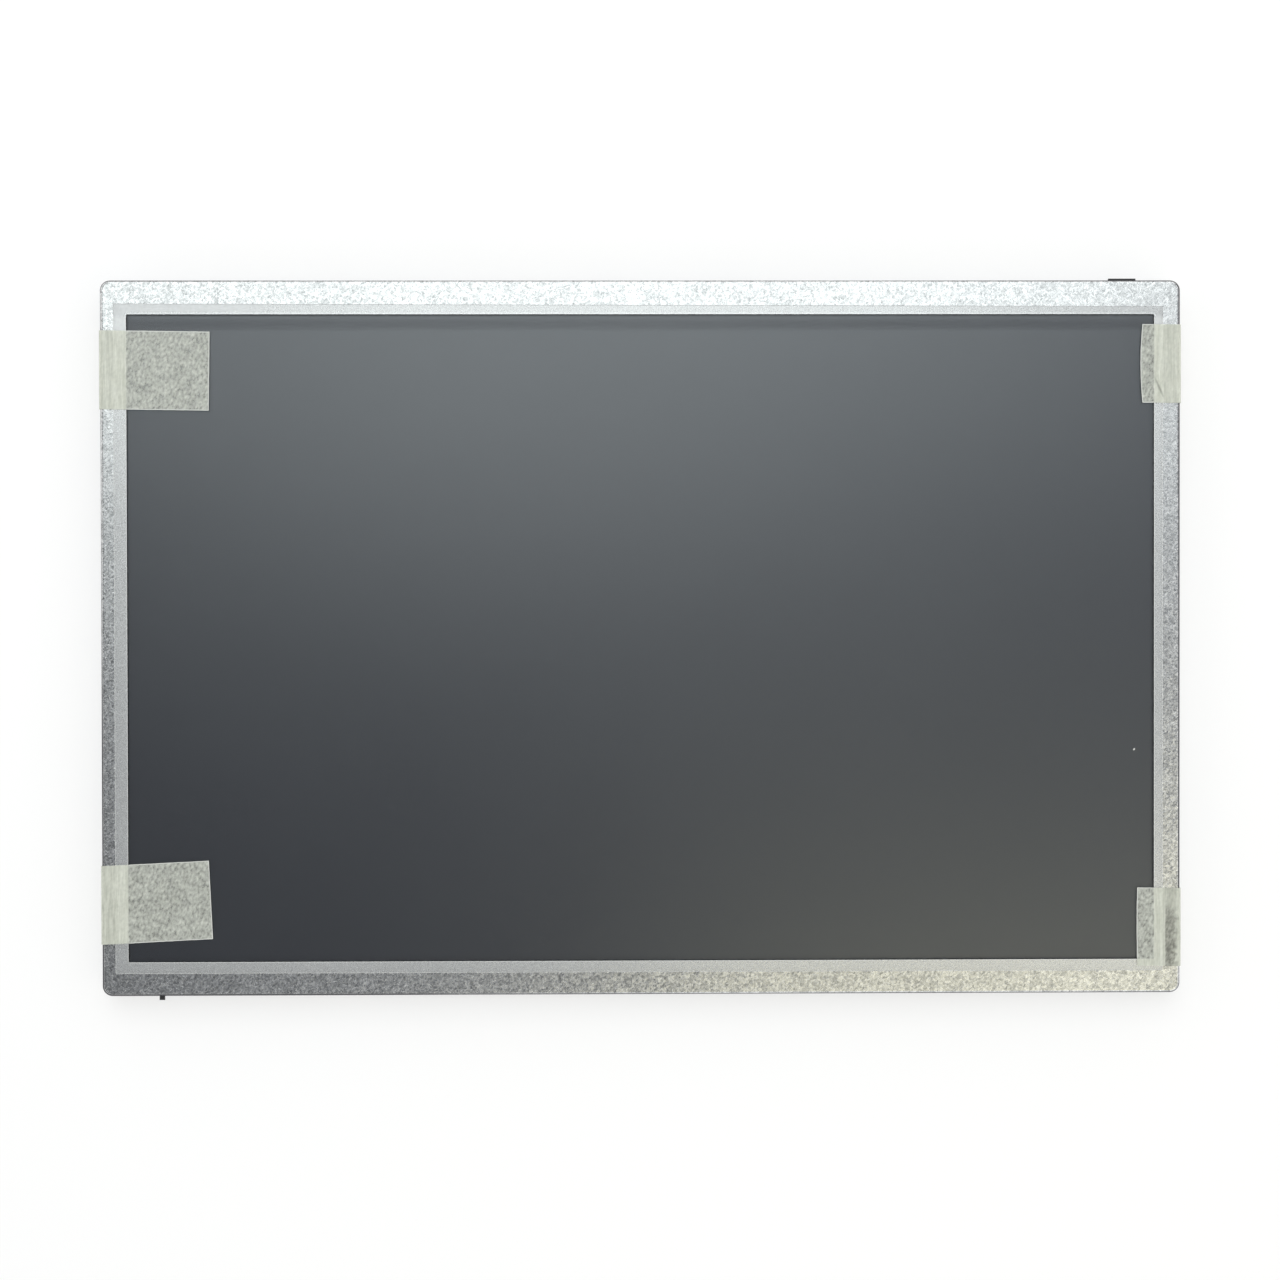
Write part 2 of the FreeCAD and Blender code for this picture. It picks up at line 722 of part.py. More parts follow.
def rear_chassis():
    """A tray pressed from sheet: walls at the top and the sides, none at the lower edge."""
    body = new_body("rear_chassis")
    block = sketch_on(body, "XY_Plane", "plate_rear")
    draw_box(block, "-frame_x", "frame_x", "-notch_floor", "frame_y")
    pad(body, block, "wall_top - plate_rear")
    fillet(body, "inner_corner", upright)
    base = body.Shape.BoundBox.ZMin
    room = sketch_on(body, "XY_Plane", "wall_top")
    draw_box(room, "-wall_x", "wall_x", "-frame_y", "wall_y")
    pocket(body, room, "wall_top - plate_front")
    inner = upright_above(base + 0.1)
    fillet(body, "core_corner + wall_gap", lambda edge: inner(edge) and edge.BoundBox.YMin > 0)
    clear = sketch_on(body, "XY_Plane", "wall_top")
    draw_box(clear, "-outline_x", "outline_x", "-outline_y", "-wall_low")
    pocket(body, clear, "wall_top - plate_front")
    chassis_plateau(body)
    chassis_tongues(body)
    chassis_collars(body)
    chassis_holes(body)


def draw_plateau(sketch, inset):
    x = f"(plateau_x - {inset})"
    low = f"(plateau_low + {inset})"
    high = f"(plateau_high - {inset})"
    draw(sketch, [
        (f"plateau_corner - {x}", low), (f"{x} - plateau_corner", low), (x, f"{low} + plateau_corner"),
        (x, f"{high} - plateau_corner"), (f"{x} - plateau_corner", high), (f"plateau_corner - {x}", high),
        (f"-{x}", f"{high} - plateau_corner"), (f"-{x}", f"{low} + plateau_corner"),
    ])


def chassis_plateau(body):
    """The raised middle of the back, pressed from the sheet, with stiffening beads."""
    outside = sketch_on(body, "XY_Plane", "plate_rear")
    draw_plateau(outside, "0")
    pad(body, outside, "plateau_depth", back=True, draft="-plateau_draft")
    inside = sketch_on(body, "XY_Plane", "plate_front")
    draw_plateau(inside, "chassis_sheet * tan(plateau_draft / 2)")
    pocket(body, inside, "plateau_depth", draft="-plateau_draft")
    beads = sketch_on(body, "XY_Plane", "chassis_sheet")
    grooves = sketch_on(body, "XY_Plane", "0")
    for step in (-1, 0, 1):
        middle = f"plateau_middle + {step} * bead_pitch"
        half = "bead_width / 2"
        draw_box(beads, "-bead_x", "bead_x", f"{middle} - {half}", f"{middle} + {half}")
        draw_box(grooves, "chassis_sheet - bead_x", "bead_x - chassis_sheet",
                 f"{middle} - {half} + chassis_sheet", f"{middle} + {half} - chassis_sheet")
    pad(body, beads, "bead_depth")
    pocket(body, grooves, "bead_depth", back=True)


def chassis_tongues(body):
    tongues = sketch_on(body, "XZ_Plane", "-frame_y")
    for x in TONGUES:
        draw_box(tongues, f"{x} - tongue_width / 2", f"{x} + tongue_width / 2",
                 "tongue_level - tongue_height / 2", "tongue_level + tongue_height / 2")
    pad(body, tongues, "wall_gap + bezel_sheet + tongue_reach", back=True)


def chassis_collars(body):
    for side in (-1, 1):
        rings = sketch_on(body, "YZ_Plane", f"{side} * wall_x")
        for end in (-1, 1):
            draw_circle(rings, f"{end} * mount_pitch / 2", "mount_level", "collar_radius")
        pad(body, rings, "collar_length", back=side > 0)
    threads = sketch_on(body, "YZ_Plane", "frame_x")
    for end in (-1, 1):
        draw_circle(threads, f"{end} * mount_pitch / 2", "mount_level", "mount_thread")
    draw_hooks(threads, "window_play / 2")
    pocket(body, threads, "2 * frame_x")


def chassis_holes(body):
    holes = sketch_on(body, "XY_Plane", "plate_front")
    draw_screw_places(holes, "screw_hole + screw_play")
    for step in BOARD_SCREWS:
        draw_circle(holes, f"{step} * board_screw_x", "board_screw_y", "screw_hole")
    draw_box(holes, "driver_pitch - notch_half", "driver_pitch + notch_half",
             "-bar_rear - notch_play", "notch_play - led_rear")
    pocket(body, holes, "2 * chassis_sheet")


# Controller board

def draw_board(sketch, rim):
    """The board's outline with the notch for the light bar's tail."""
    low = f"board_low - {rim}"
    high = f"board_high + {rim}"
    top = "notch_play - led_rear"
    draw(sketch, [
        (f"-(board_x + {rim})", low), ("driver_pitch - notch_half", low),
        ("driver_pitch - notch_half", top), ("driver_pitch + notch_half", top),
        ("driver_pitch + notch_half", low), (f"board_x + {rim}", low),
        (f"board_x + {rim}", high), (f"-(board_x + {rim})", high),
    ])


def board_sheets():
    insulator = new_body("board_insulator")
    face = sketch_on(insulator, "XY_Plane", "board_front")
    draw_board(face, "insulator_rim")
    half = "2 * screw_shank"
    for step in BOARD_SCREWS:
        draw_box(face, f"{step} * board_screw_x - {half}", f"{step} * board_screw_x + {half}",
                 f"board_screw_y - {half}", f"board_screw_y + {half}")
    pad(insulator, face, "insulator_sheet")
    board = new_body("controller_board")
    face = sketch_on(board, "XY_Plane", "board_rear")
    draw_board(face, "0")
    for step in BOARD_SCREWS:
        draw_circle(face, f"{step} * board_screw_x", "board_screw_y", "1.4 * screw_shank")
    pad(board, face, "board_sheet")


def socket(name, pins, x):
    """A low housing open towards the middle of the back, with a row of contacts."""
    half = f"({pins} - 1) * socket_pitch / 2"
    body = new_body(name)
    block = sketch_on(body, "XY_Plane", "board_rear")
    draw_box(block, f"-({half}) - 2.2", f"{half} + 2.2", "socket_back", "socket_front")
    pad(body, block, "socket_height", back=True)
    mouth = sketch_on(body, "XZ_Plane", "-socket_front")
    draw_box(mouth, f"-({half}) - 1", f"{half} + 1",
             "board_rear - 0.75 * socket_height", "board_rear - 0.25 * socket_height")
    pocket(body, mouth, "0.75 * socket_depth", back=True)
    bind(body, "Placement.Base.x", x)
    rows = new_body(name + "_contacts")
    feet = sketch_on(rows, "XY_Plane", "board_rear")
    draw_box(feet, f"-({half}) - contact_sheet / 2", f"contact_sheet / 2 - ({half})",
             "socket_back - contact_foot", "socket_back")
    foot = pad(rows, feet, "contact_sheet", back=True)
    blades = sketch_on(rows, "XY_Plane", "board_rear - 0.25 * socket_height")
    draw_box(blades, f"-({half}) - contact_sheet / 2", f"contact_sheet / 2 - ({half})",
             "socket_back + 0.25 * socket_depth", "socket_front - 0.2 * socket_depth")
    blade = pad(rows, blades, "contact_sheet / 2", back=True)
    repeat(rows, [foot, blade], "X_Axis", "socket_pitch", pins)
    bind(rows, "Placement.Base.x", x)


def package(name, x, y, length, width, depth):
    """A moulded chip package with softened outer edges."""
    body = new_body(name)
    case = sketch_on(body, "XY_Plane", "board_rear")
    draw_box(case, f"-{length} / 2", f"{length} / 2", f"-{width} / 2", f"{width} / 2")
    pad(body, case, depth, back=True)
    chamfer(body, "0.15", level(body, min))
    bind(body, "Placement.Base.x", x)
    bind(body, "Placement.Base.y", y)


def component_row(name, x, y, size, pitch, count, corner=None):
    """A row of like components standing side by side along the board."""
    length, width, depth = size
    body = new_body(name)
    case = sketch_on(body, "XY_Plane", "board_rear")
    draw_box(case, f"-{length} / 2", f"{length} / 2", f"-{width} / 2", f"{width} / 2")
    shaped = pad(body, case, depth, back=True)
    repeat(body, [shaped], "X_Axis", pitch, count)
    if corner:
        chamfer(body, corner, upright)
    bind(body, "Placement.Base.x", x)
    bind(body, "Placement.Base.y", y)


def controller_board():
    board_sheets()
    socket("signal_socket", "signal_pins", "-0.62 * board_x")
    socket("backlight_socket", "backlight_pins", "0.72 * board_x")
    package("timing_controller", "-0.08 * board_x", "board_middle", "12", "12", "1")
    package("memory_chip", "-0.24 * board_x", "board_middle", "5", "4", "0.9")
    package("power_chip", "0.2 * board_x", "board_middle", "5", "5", "0.9")
    package("backlight_chip", "0.5 * board_x", "board_middle", "4", "4", "0.9")
    component_row("power_inductors", "0.58 * board_x", "board_middle", ("5", "5", "1.5"),
                  "0.085 * board_x", "3", "1.2")
    component_row("filter_capacitors", "0.26 * board_x", "board_middle", ("3.2", "1.6", "1.4"),
                  "0.045 * board_x", "4")
    component_row("chip_capacitors", "-0.9 * board_x", "board_middle - 4.5", ("0.8", "1.6", "0.8"),
                  "0.031 * board_x", "24")
    component_row("chip_resistors", "-0.5 * board_x", "board_middle + 3", ("0.5", "1", "0.35"),
                  "0.017 * board_x", "12")


# Screws

def screw(label, x, y, seat, depth, pitch, count):
    """A row of screws: a flat round head behind the seat and a shank going forward from it."""
    body = new_body(label)
    turned = sketch_on(body, "XZ_Plane", "0")
    draw(turned, [
        ("0", f"{seat} - screw_cap"), ("screw_head", f"{seat} - screw_cap"), ("screw_head", seat),
        ("screw_shank", seat), ("screw_shank", f"{seat} + {depth}"), ("0", f"{seat} + {depth}"),
    ])
    repeat(body, [revolve(body, turned)], "X_Axis", pitch, count)
    bind(body, "Placement.Base.x", x)
    bind(body, "Placement.Base.y", y)


def screws():
    depth = "chassis_sheet + 0.9 * screw_depth"
    screw("top_screws", "-top_screw_x", "top_screw_y", "plate_rear", depth, "2 * top_screw_x", "2")
    screw("board_screws", "-board_screw_x", "board_screw_y", "board_rear",
          "board_sheet + insulator_sheet + 0.9 * chassis_sheet", "2 * board_screw_x / 3", "4")


# The whole module, from the front to the back

front_bezel()
protective_film()
tape("tape_upper_left", -1, 1, 3)
tape("tape_lower_left", -1, -1, 3)
tape("tape_upper_right", 1, 1, 0)
tape("tape_lower_right", 1, -1, 0)
cell()
for number in (1, 2, 3, 4):
    driver(number)
middle_frame()
backlight()
light_bar()
rear_chassis()
controller_board()
screws()
doc.recompute()

for item in doc.Objects:
    if {"Invalid", "Error"} & set(item.State):
        raise RuntimeError(f"{item.Label} is in state {item.State}")

os.makedirs("parts", exist_ok=True)
for piece in pieces:
    shape = piece.Shape
    if shape.isNull() or not shape.isValid():
        raise RuntimeError(f"{piece.Label} has no valid shape")
    shape.exportStep(f"parts/{piece.Label}.step")
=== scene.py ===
import math

import bmesh
import bpy
from mathutils import Matrix, Vector, noise


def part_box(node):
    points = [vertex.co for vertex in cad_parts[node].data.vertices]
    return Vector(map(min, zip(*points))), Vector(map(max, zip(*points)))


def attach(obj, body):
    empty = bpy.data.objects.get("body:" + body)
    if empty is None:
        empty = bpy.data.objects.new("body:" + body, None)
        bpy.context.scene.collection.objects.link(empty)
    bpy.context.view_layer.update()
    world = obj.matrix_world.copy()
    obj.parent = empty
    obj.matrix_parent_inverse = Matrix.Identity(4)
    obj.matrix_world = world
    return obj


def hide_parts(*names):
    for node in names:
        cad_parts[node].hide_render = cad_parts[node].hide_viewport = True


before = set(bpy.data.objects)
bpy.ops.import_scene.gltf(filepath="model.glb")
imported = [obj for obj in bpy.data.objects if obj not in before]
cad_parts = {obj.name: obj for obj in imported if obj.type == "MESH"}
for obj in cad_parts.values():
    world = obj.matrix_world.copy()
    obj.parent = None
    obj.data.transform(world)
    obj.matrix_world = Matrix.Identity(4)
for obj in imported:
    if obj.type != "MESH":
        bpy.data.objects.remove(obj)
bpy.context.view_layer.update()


# Rear chassis: the back pan that carries the light guide, the frame and the board.
# Hot-dip galvanised steel, 0.6 mm thick, pressed to a flat plateau with stiffening beads.
# The zinc froze into small crystals, so the bare metal shows a fine grey spangle.

MM = 0.001
EVEN_COLOUR = (0.5, 0.5, 0.5)
SWIRL_SCALE = 900.0
SWIRL_REACH = 1.1 * MM
CRYSTAL_TURN = 0.8
CRYSTAL_STRETCH = (1.15, 0.9, 1.0)
FEATHER_SIZE = 0.46 * MM
FEATHER_STRETCH = (1.15, 0.95, 1.0)
NEEDLE_SIZE = 0.55 * MM
NEEDLE_STRETCH = (3.0, 0.8, 1.0)
NEEDLE_TURNS = (0.5, 1.5, 2.6)
SHADE_PART, FEATHER_PART, NEEDLE_PART = 0.5, 0.5, 0.4
EVEN_ZINC = 0.57
WIPE_SIZE = 30.0 * MM
WIPE_STRETCH = (2.2, 1.0, 1.0)
WIPE_TURN = 0.5
WIPE_SHARE = 0.15
# Dark zinc for the painted shade along the bezel's outer fold and for its one nick.
FOLD_SHADE_AND_NICK_ZINC = (0.075, 0.075, 0.08, 1)


def put(tree, socket, value):
    """A plain value on an input, or the output of another node joined to it."""
    if isinstance(value, bpy.types.NodeSocket):
        tree.links.new(value, socket)
    else:
        socket.default_value = value


def add(tree, kind, inputs=(), **settings):
    """One node with its settings and its inputs."""
    made = tree.nodes.new(kind)
    for name, value in settings.items():
        setattr(made, name, value)
    for name, value in dict(inputs).items():
        put(tree, made.inputs[name], value)
    return made


def sum_of(tree, operation, first, second=0.0, third=0.0):
    """The result of one step of arithmetic."""
    return add(tree, "ShaderNodeMath", {0: first, 1: second, 2: third}, operation=operation).outputs[0]


def product_of(tree, first, *others):
    """Several values multiplied together."""
    for other in others:
        first = sum_of(tree, "MULTIPLY", first, other)
    return first


def largest_of(tree, first, *others):
    """The largest of several values."""
    for other in others:
        first = sum_of(tree, "MAXIMUM", first, other)
    return first


def vector_of(tree, operation, first, second=(0.0, 0.0, 0.0)):
    """One step of arithmetic on places; a length or a dot product is a number."""
    made = add(tree, "ShaderNodeVectorMath", {0: first, 1: second}, operation=operation)
    return made.outputs["Value" if operation in ("LENGTH", "DOT_PRODUCT") else "Vector"]


def range_of(tree, value, low, high, start=0.0, end=1.0):
    """A value moved from one range to another, and held at its ends."""
    return add(tree, "ShaderNodeMapRange", {0: value, 1: low, 2: high, 3: start, 4: end}).outputs[0]


def blend_of(tree, share, first, second):
    """A colour between two others."""
    return add(tree, "ShaderNodeMix", {0: share, 6: first, 7: second}, data_type="RGBA").outputs[2]


def pick_of(tree, colour):
    """The three random numbers that a cell's colour holds."""
    return add(tree, "ShaderNodeSeparateColor", {0: colour}).outputs


def laid_at(tree, place, stretch, turn, centre=(0.0, 0.0, 0.0)):
    """Places measured from a centre along turned axes, in steps as long as the stretch."""
    return add(tree, "ShaderNodeMapping",
               {"Vector": place, "Location": centre, "Rotation": (0.0, 0.0, turn), "Scale": stretch},
               vector_type="TEXTURE").outputs[0]


def speckle(tree, place, size, detail=3.0, stretch=(1.0, 1.0, 1.0), turn=0.0):
    """Soft clouds about one size across, drawn out along a turned axis if wanted."""
    made = add(tree, "ShaderNodeTexNoise",
               {"Vector": laid_at(tree, place, stretch, turn), "Scale": 1.0 / size, "Detail": detail})
    return made.outputs["Fac"]


def new_group(name, inputs, outputs):
    """An empty group of nodes, and the values it is given: a place and plain numbers."""
    group = bpy.data.node_groups.new(name, "ShaderNodeTree")
    for title in inputs:
        kind = "NodeSocketVector" if title == "Place" else "NodeSocketFloat"
        group.interface.new_socket(title, in_out="INPUT", socket_type=kind)
    for title in outputs:
        group.interface.new_socket(title, in_out="OUTPUT", socket_type="NodeSocketFloat")
    return group, add(group, "NodeGroupInput").outputs


def new_finish(name):
    """A fresh material with its shader and the place of each point on the piece."""
    made = bpy.data.materials.new(name)
    made.use_nodes = True
    tree = made.node_tree
    place = add(tree, "ShaderNodeTexCoord").outputs["Object"]
    return made, tree, tree.nodes["Principled BSDF"], place


def set_shader(tree, shader, **inputs):
    """Shader inputs by name, an underscore standing for each space."""
    for name, value in inputs.items():
        put(tree, shader.inputs[name.replace("_", " ")], value)


def raise_surface(tree, shader, *patterns):
    """Fine relief: patterns added up, each with its height in metres."""
    height = 0.0
    for pattern, depth in reversed(patterns):
        height = sum_of(tree, "MULTIPLY_ADD", pattern, depth, height)
    bump = add(tree, "ShaderNodeBump", {"Height": height, "Strength": 1.0, "Distance": 1.0})
    put(tree, shader.inputs["Normal"], bump.outputs[0])


def dress(material, *names):
    """The material on every slot of these nodes."""
    for name in names:
        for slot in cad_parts[name].material_slots:
            slot.material = material


spangle, given = new_group("zinc spangle", ("Place", "Crystal Size", "Tilt"),
                           ("Shade", "Feather", "Needle", "Height"))
swirl = add(spangle, "ShaderNodeTexNoise", {"Vector": given["Place"], "Scale": SWIRL_SCALE, "Detail": 3.0})
swirl = vector_of(spangle, "SUBTRACT", swirl.outputs["Color"], EVEN_COLOUR)
swirl = add(spangle, "ShaderNodeVectorMath", {0: swirl, "Scale": SWIRL_REACH}, operation="SCALE").outputs[0]
swirled = vector_of(spangle, "ADD", given["Place"], swirl)
drawn_out = laid_at(spangle, swirled, CRYSTAL_STRETCH, CRYSTAL_TURN)
per_metre = sum_of(spangle, "DIVIDE", 1.0, given["Crystal Size"])
crystals = add(spangle, "ShaderNodeTexVoronoi", {"Vector": drawn_out, "Scale": per_metre}).outputs
lean = vector_of(spangle, "SUBTRACT", crystals["Color"], EVEN_COLOUR)
reach = vector_of(spangle, "SUBTRACT", drawn_out, crystals["Position"])
facet = vector_of(spangle, "DOT_PRODUCT", reach, lean)
feather = speckle(spangle, swirled, FEATHER_SIZE, 2.0, FEATHER_STRETCH, CRYSTAL_TURN)
needle = 0.0
for turn in NEEDLE_TURNS:
    grown = speckle(spangle, swirled, NEEDLE_SIZE, 1.0, NEEDLE_STRETCH, turn)
    needle = largest_of(spangle, range_of(spangle, grown, 0.6, 0.7), needle)
add(spangle, "NodeGroupOutput", {
    "Shade": pick_of(spangle, crystals["Color"])["Green"],
    "Feather": range_of(spangle, feather, 0.34, 0.66),
    "Needle": needle,
    "Height": product_of(spangle, facet, given["Tilt"])})


def zinc_finish(name, dark, light, crystal, tilt, smooth, rough, worn=None, contrast=None):
    """Galvanised sheet: crystals that differ in shade, gloss and lean, needles, wipe marks, and any painted
    shade and wear it is given.
    """
    made, tree, shader, place = new_finish(name)
    zinc = add(tree, "ShaderNodeGroup", {"Place": place, "Crystal Size": crystal, "Tilt": tilt},
               node_tree=spangle).outputs
    mixed = sum_of(tree, "MULTIPLY_ADD", zinc["Shade"], SHADE_PART,
                   product_of(tree, zinc["Feather"], FEATHER_PART))
    mixed = sum_of(tree, "MULTIPLY_ADD", zinc["Needle"], NEEDLE_PART, mixed)
    height = zinc["Height"]
    if contrast:
        kept = contrast(tree, place)
        mixed = sum_of(tree, "MULTIPLY_ADD", sum_of(tree, "SUBTRACT", mixed, EVEN_ZINC), kept, EVEN_ZINC)
        height = product_of(tree, height, kept)
    wiped = speckle(tree, place, WIPE_SIZE, 3.0, WIPE_STRETCH, WIPE_TURN)
    tone = blend_of(tree, mixed, dark, light)
    tone = blend_of(tree, range_of(tree, wiped, 0.45, 0.75, 0.0, WIPE_SHARE), tone, dark)
    # On the bezel, worn is painted shade along the outer fold, and one nick of wear.
    if worn:
        tone = blend_of(tree, worn(tree, place), tone, FOLD_SHADE_AND_NICK_ZINC)
    set_shader(tree, shader, Base_Color=tone, Metallic=1.0,
               Roughness=range_of(tree, zinc["Feather"], 0.0, 1.0, smooth, rough))
    raise_surface(tree, shader, (height, 1.0))
    return made


dress(zinc_finish("galvanised pan", dark=(0.47, 0.48, 0.49, 1), light=(0.74, 0.75, 0.76, 1),
                  crystal=2.2 * MM, tilt=0.16, smooth=0.3, rough=0.42),
      "rear_chassis")


# Light bar: thirty white lamps on a thin strip circuit, stuck to a bent aluminium bracket.
# The lamps face the edge of the light guide, and the strip's tail turns out to the board.

CLOUD_LOW, CLOUD_HIGH = 0.3, 0.7
STRIP_LANES = (0.6, 0.28, 0.32)


def axes_of(tree, place):
    """The three distances that make up a place."""
    return add(tree, "ShaderNodeSeparateXYZ", {0: place}).outputs


def spread_of(tree, cloud, start, end):
    """A value between two ends, over the usual spread of the clouds."""
    return range_of(tree, cloud, CLOUD_LOW, CLOUD_HIGH, start, end)


def span_of(tree, length, low, high, start=0.0, end=1.0):
    """The same for a length, its range in millimetres."""
    return range_of(tree, length, low * MM, high * MM, start, end)


def lines_of(tree, along, pitch, low, high):
    """Straight lines across an axis: half their pitch, and where their soft edge starts and ends."""
    return span_of(tree, sum_of(tree, "PINGPONG", along, pitch * MM), low, high)


def bracket_finish():
    """Bare metal with the fine lines of the rolling mill."""
    made, tree, shader, place = new_finish("rolled aluminium")
    rolled = speckle(tree, place, 0.6 * MM, 4.0, stretch=(25.0, 1.0, 1.0))
    tone = blend_of(tree, rolled, (0.62, 0.63, 0.64, 1), (0.8, 0.8, 0.81, 1))
    set_shader(tree, shader, Metallic=1.0, Base_Color=tone, Roughness=spread_of(tree, rolled, 0.28, 0.44))
    raise_surface(tree, shader, (rolled, 0.004 * MM))
    return made


def strip_finish():
    """White lacquer over narrow copper lanes."""
    made, tree, shader, place = new_finish("white strip circuit")
    lane = lines_of(tree, axes_of(tree, place)["X"], *STRIP_LANES)
    cloud = speckle(tree, place, 2.0 * MM)
    tone = blend_of(tree, product_of(tree, lane, 0.35), (0.78, 0.78, 0.74, 1), (0.66, 0.55, 0.36, 1))
    set_shader(tree, shader, Base_Color=tone, Roughness=spread_of(tree, cloud, 0.38, 0.52))
    raise_surface(tree, shader, (lane, 0.012 * MM))
    return made


def lamp_finish():
    """White plastic, yellow with phosphor on the face that shines."""
    made, tree, shader, place = new_finish("lamp moulding")
    facing = add(tree, "ShaderNodeTexCoord").outputs["Normal"]
    window = range_of(tree, axes_of(tree, facing)["Y"], 0.8, 0.95)
    cloud = speckle(tree, place, 0.8 * MM)
    tone = blend_of(tree, window, (0.82, 0.82, 0.79, 1), (0.86, 0.66, 0.12, 1))
    set_shader(tree, shader, Base_Color=tone, Roughness=spread_of(tree, cloud, 0.3, 0.45))
    return made


dress(bracket_finish(), "light_bar_bracket")
dress(strip_finish(), "light_bar_flex")
dress(lamp_finish(), "light_bar_leds")


# Light guide and its sheets: a clear acrylic plate on a white reflector, under two prism
# sheets between two diffusers. They lie loose in the frame, held by their ears.

DOT_SCALE = 1400.0
DOT_EDGE = (0.22, 0.3)
RIDGE_PITCH = 0.03 * MM


def guide_finish():
    """Clear plastic with a raster of etched dots."""
    made, tree, shader, place = new_finish("clear acrylic")
    dots = add(tree, "ShaderNodeTexVoronoi", {"Vector": place, "Scale": DOT_SCALE, "Randomness": 0.25})
    etched = range_of(tree, dots.outputs["Distance"], *DOT_EDGE, 1.0, 0.0)
    set_shader(tree, shader, Base_Color=(0.95, 0.97, 0.97, 1), IOR=1.49, Transmission_Weight=1.0,
               Roughness=range_of(tree, etched, 0.0, 1.0, 0.05, 0.5))
    return made


def sheet_finish(name, tone, deep, axis):
    """A milky plastic sheet with fine ridges ruled across one axis."""
    made, tree, shader, place = new_finish(name)
    cloud = speckle(tree, place, 4.0 * MM, 4.0)
    set_shader(tree, shader, Base_Color=blend_of(tree, cloud, deep, tone), IOR=1.55,
               Roughness=spread_of(tree, cloud, 0.35, 0.55))
    raise_surface(tree, shader, (sum_of(tree, "PINGPONG", axes_of(tree, place)[axis], RIDGE_PITCH), 0.5))
    return made


dress(guide_finish(), "light_guide")
dress(sheet_finish("white film", tone=(0.86, 0.86, 0.85, 1), deep=(0.78, 0.78, 0.78, 1), axis="X"),
      "reflector_sheet", "upper_diffuser", "lower_diffuser")
dress(sheet_finish("prism film", tone=(0.72, 0.74, 0.76, 1), deep=(0.6, 0.62, 0.65, 1), axis="Y"),
      "upper_prism_sheet", "lower_prism_sheet")


# Middle frame: the black moulding between the pan and the display cell.
# Filled polycarbonate with a fine spark-eroded grain; hooks and a latch hold it by its edges.

PIT_SIZE = 0.22 * MM
MOULD_CLOUD = 6.0 * MM

moulded_grain, given = new_group("moulded grain", ("Place",), ("Pit", "Cloud"))
grain_cloud = speckle(moulded_grain, given["Place"], MOULD_CLOUD, 4.0)
add(moulded_grain, "NodeGroupOutput", {
    "Pit": speckle(moulded_grain, given["Place"], PIT_SIZE, 2.0),
    "Cloud": spread_of(moulded_grain, grain_cloud, 0.0, 1.0)})


def grain_of(tree, place):
    """The pits and the clouds of a moulded surface."""
    return add(tree, "ShaderNodeGroup", {"Place": place}, node_tree=moulded_grain).outputs


def moulding_finish(name, tone, worn, smooth, rough, depth):
    """Moulded plastic: pitted by the tool, uneven in colour and gloss."""
    made, tree, shader, place = new_finish(name)
    grain = grain_of(tree, place)
    set_shader(tree, shader, Base_Color=blend_of(tree, grain["Cloud"], tone, worn),
               Roughness=range_of(tree, grain["Cloud"], 0.0, 1.0, smooth, rough))
    raise_surface(tree, shader, (grain["Pit"], depth))
    return made


dress(moulding_finish("black polycarbonate", tone=(0.012, 0.012, 0.013, 1), worn=(0.022, 0.022, 0.023, 1),
                      smooth=0.42, rough=0.56, depth=0.02 * MM),
      "middle_frame")


# Display cell: two thin glass plates bonded together, a polarizer stuck to each outer face.
# The front polarizer is a dark film with an anti-glare coat, so it greys whatever it mirrors.

COAT_TINT = (0.92, 0.965, 1, 1)
EDGE_RISE = (78.8, 82.6)
EDGE_HEIGHT = 0.13 * MM


def glass_finish():
    """Clear glass, hardly clouded."""
    made, tree, shader, place = new_finish("thin glass")
    cloud = speckle(tree, place, 20.0 * MM)
    set_shader(tree, shader, Base_Color=(0.93, 0.97, 0.95, 1), IOR=1.52, Transmission_Weight=1.0,
               Roughness=spread_of(tree, cloud, 0.01, 0.05))
    return made


def polarizer_finish():
    """Dark blue film under a sparkling coat, its upper edge eased slightly upwards."""
    made, tree, shader, place = new_finish("anti-glare polarizer")
    cloud = speckle(tree, place, 50.0 * MM, 2.0)
    sparkle = speckle(tree, place, 0.5 * MM, 2.0)
    tone = blend_of(tree, cloud, (0.0004, 0.0008, 0.0048, 1), (0.0008, 0.0013, 0.0062, 1))
    set_shader(tree, shader, Base_Color=tone, IOR=1.72, Specular_IOR_Level=1.0, Specular_Tint=COAT_TINT,
               Roughness=spread_of(tree, sparkle, 0.28, 0.34))
    rise = span_of(tree, axes_of(tree, place)["Y"], *EDGE_RISE)
    eased = product_of(tree, rise, rise, range_of(tree, rise, 0.0, 1.0, 3.0, 1.0))
    raise_surface(tree, shader, (sparkle, 0.006 * MM), (eased, EDGE_HEIGHT))
    return made


dress(glass_finish(), "colour_filter_glass", "array_glass")
dress(polarizer_finish(), "front_polarizer", "rear_polarizer")


# Driver films: four amber polyimide strips that carry the picture from the board to the glass.
# Copper lines run along each strip, and a bare silicon chip is bonded to its back.

DRIVER_LINES = (0.22, 0.1, 0.12)
DRIVERS = (1, 2, 3, 4)


def driver_finish():
    """Amber film with raised copper lines under it."""
    made, tree, shader, place = new_finish("copper on polyimide")
    line = lines_of(tree, axes_of(tree, place)["X"], *DRIVER_LINES)
    cloud = speckle(tree, place, 4.0 * MM)
    bare = blend_of(tree, cloud, (0.2, 0.085, 0.02, 1), (0.27, 0.12, 0.03, 1))
    set_shader(tree, shader, Base_Color=blend_of(tree, line, bare, (0.36, 0.17, 0.06, 1)),
               Metallic=product_of(tree, line, 0.6), Roughness=spread_of(tree, cloud, 0.3, 0.42))
    raise_surface(tree, shader, (line, 0.01 * MM))
    return made


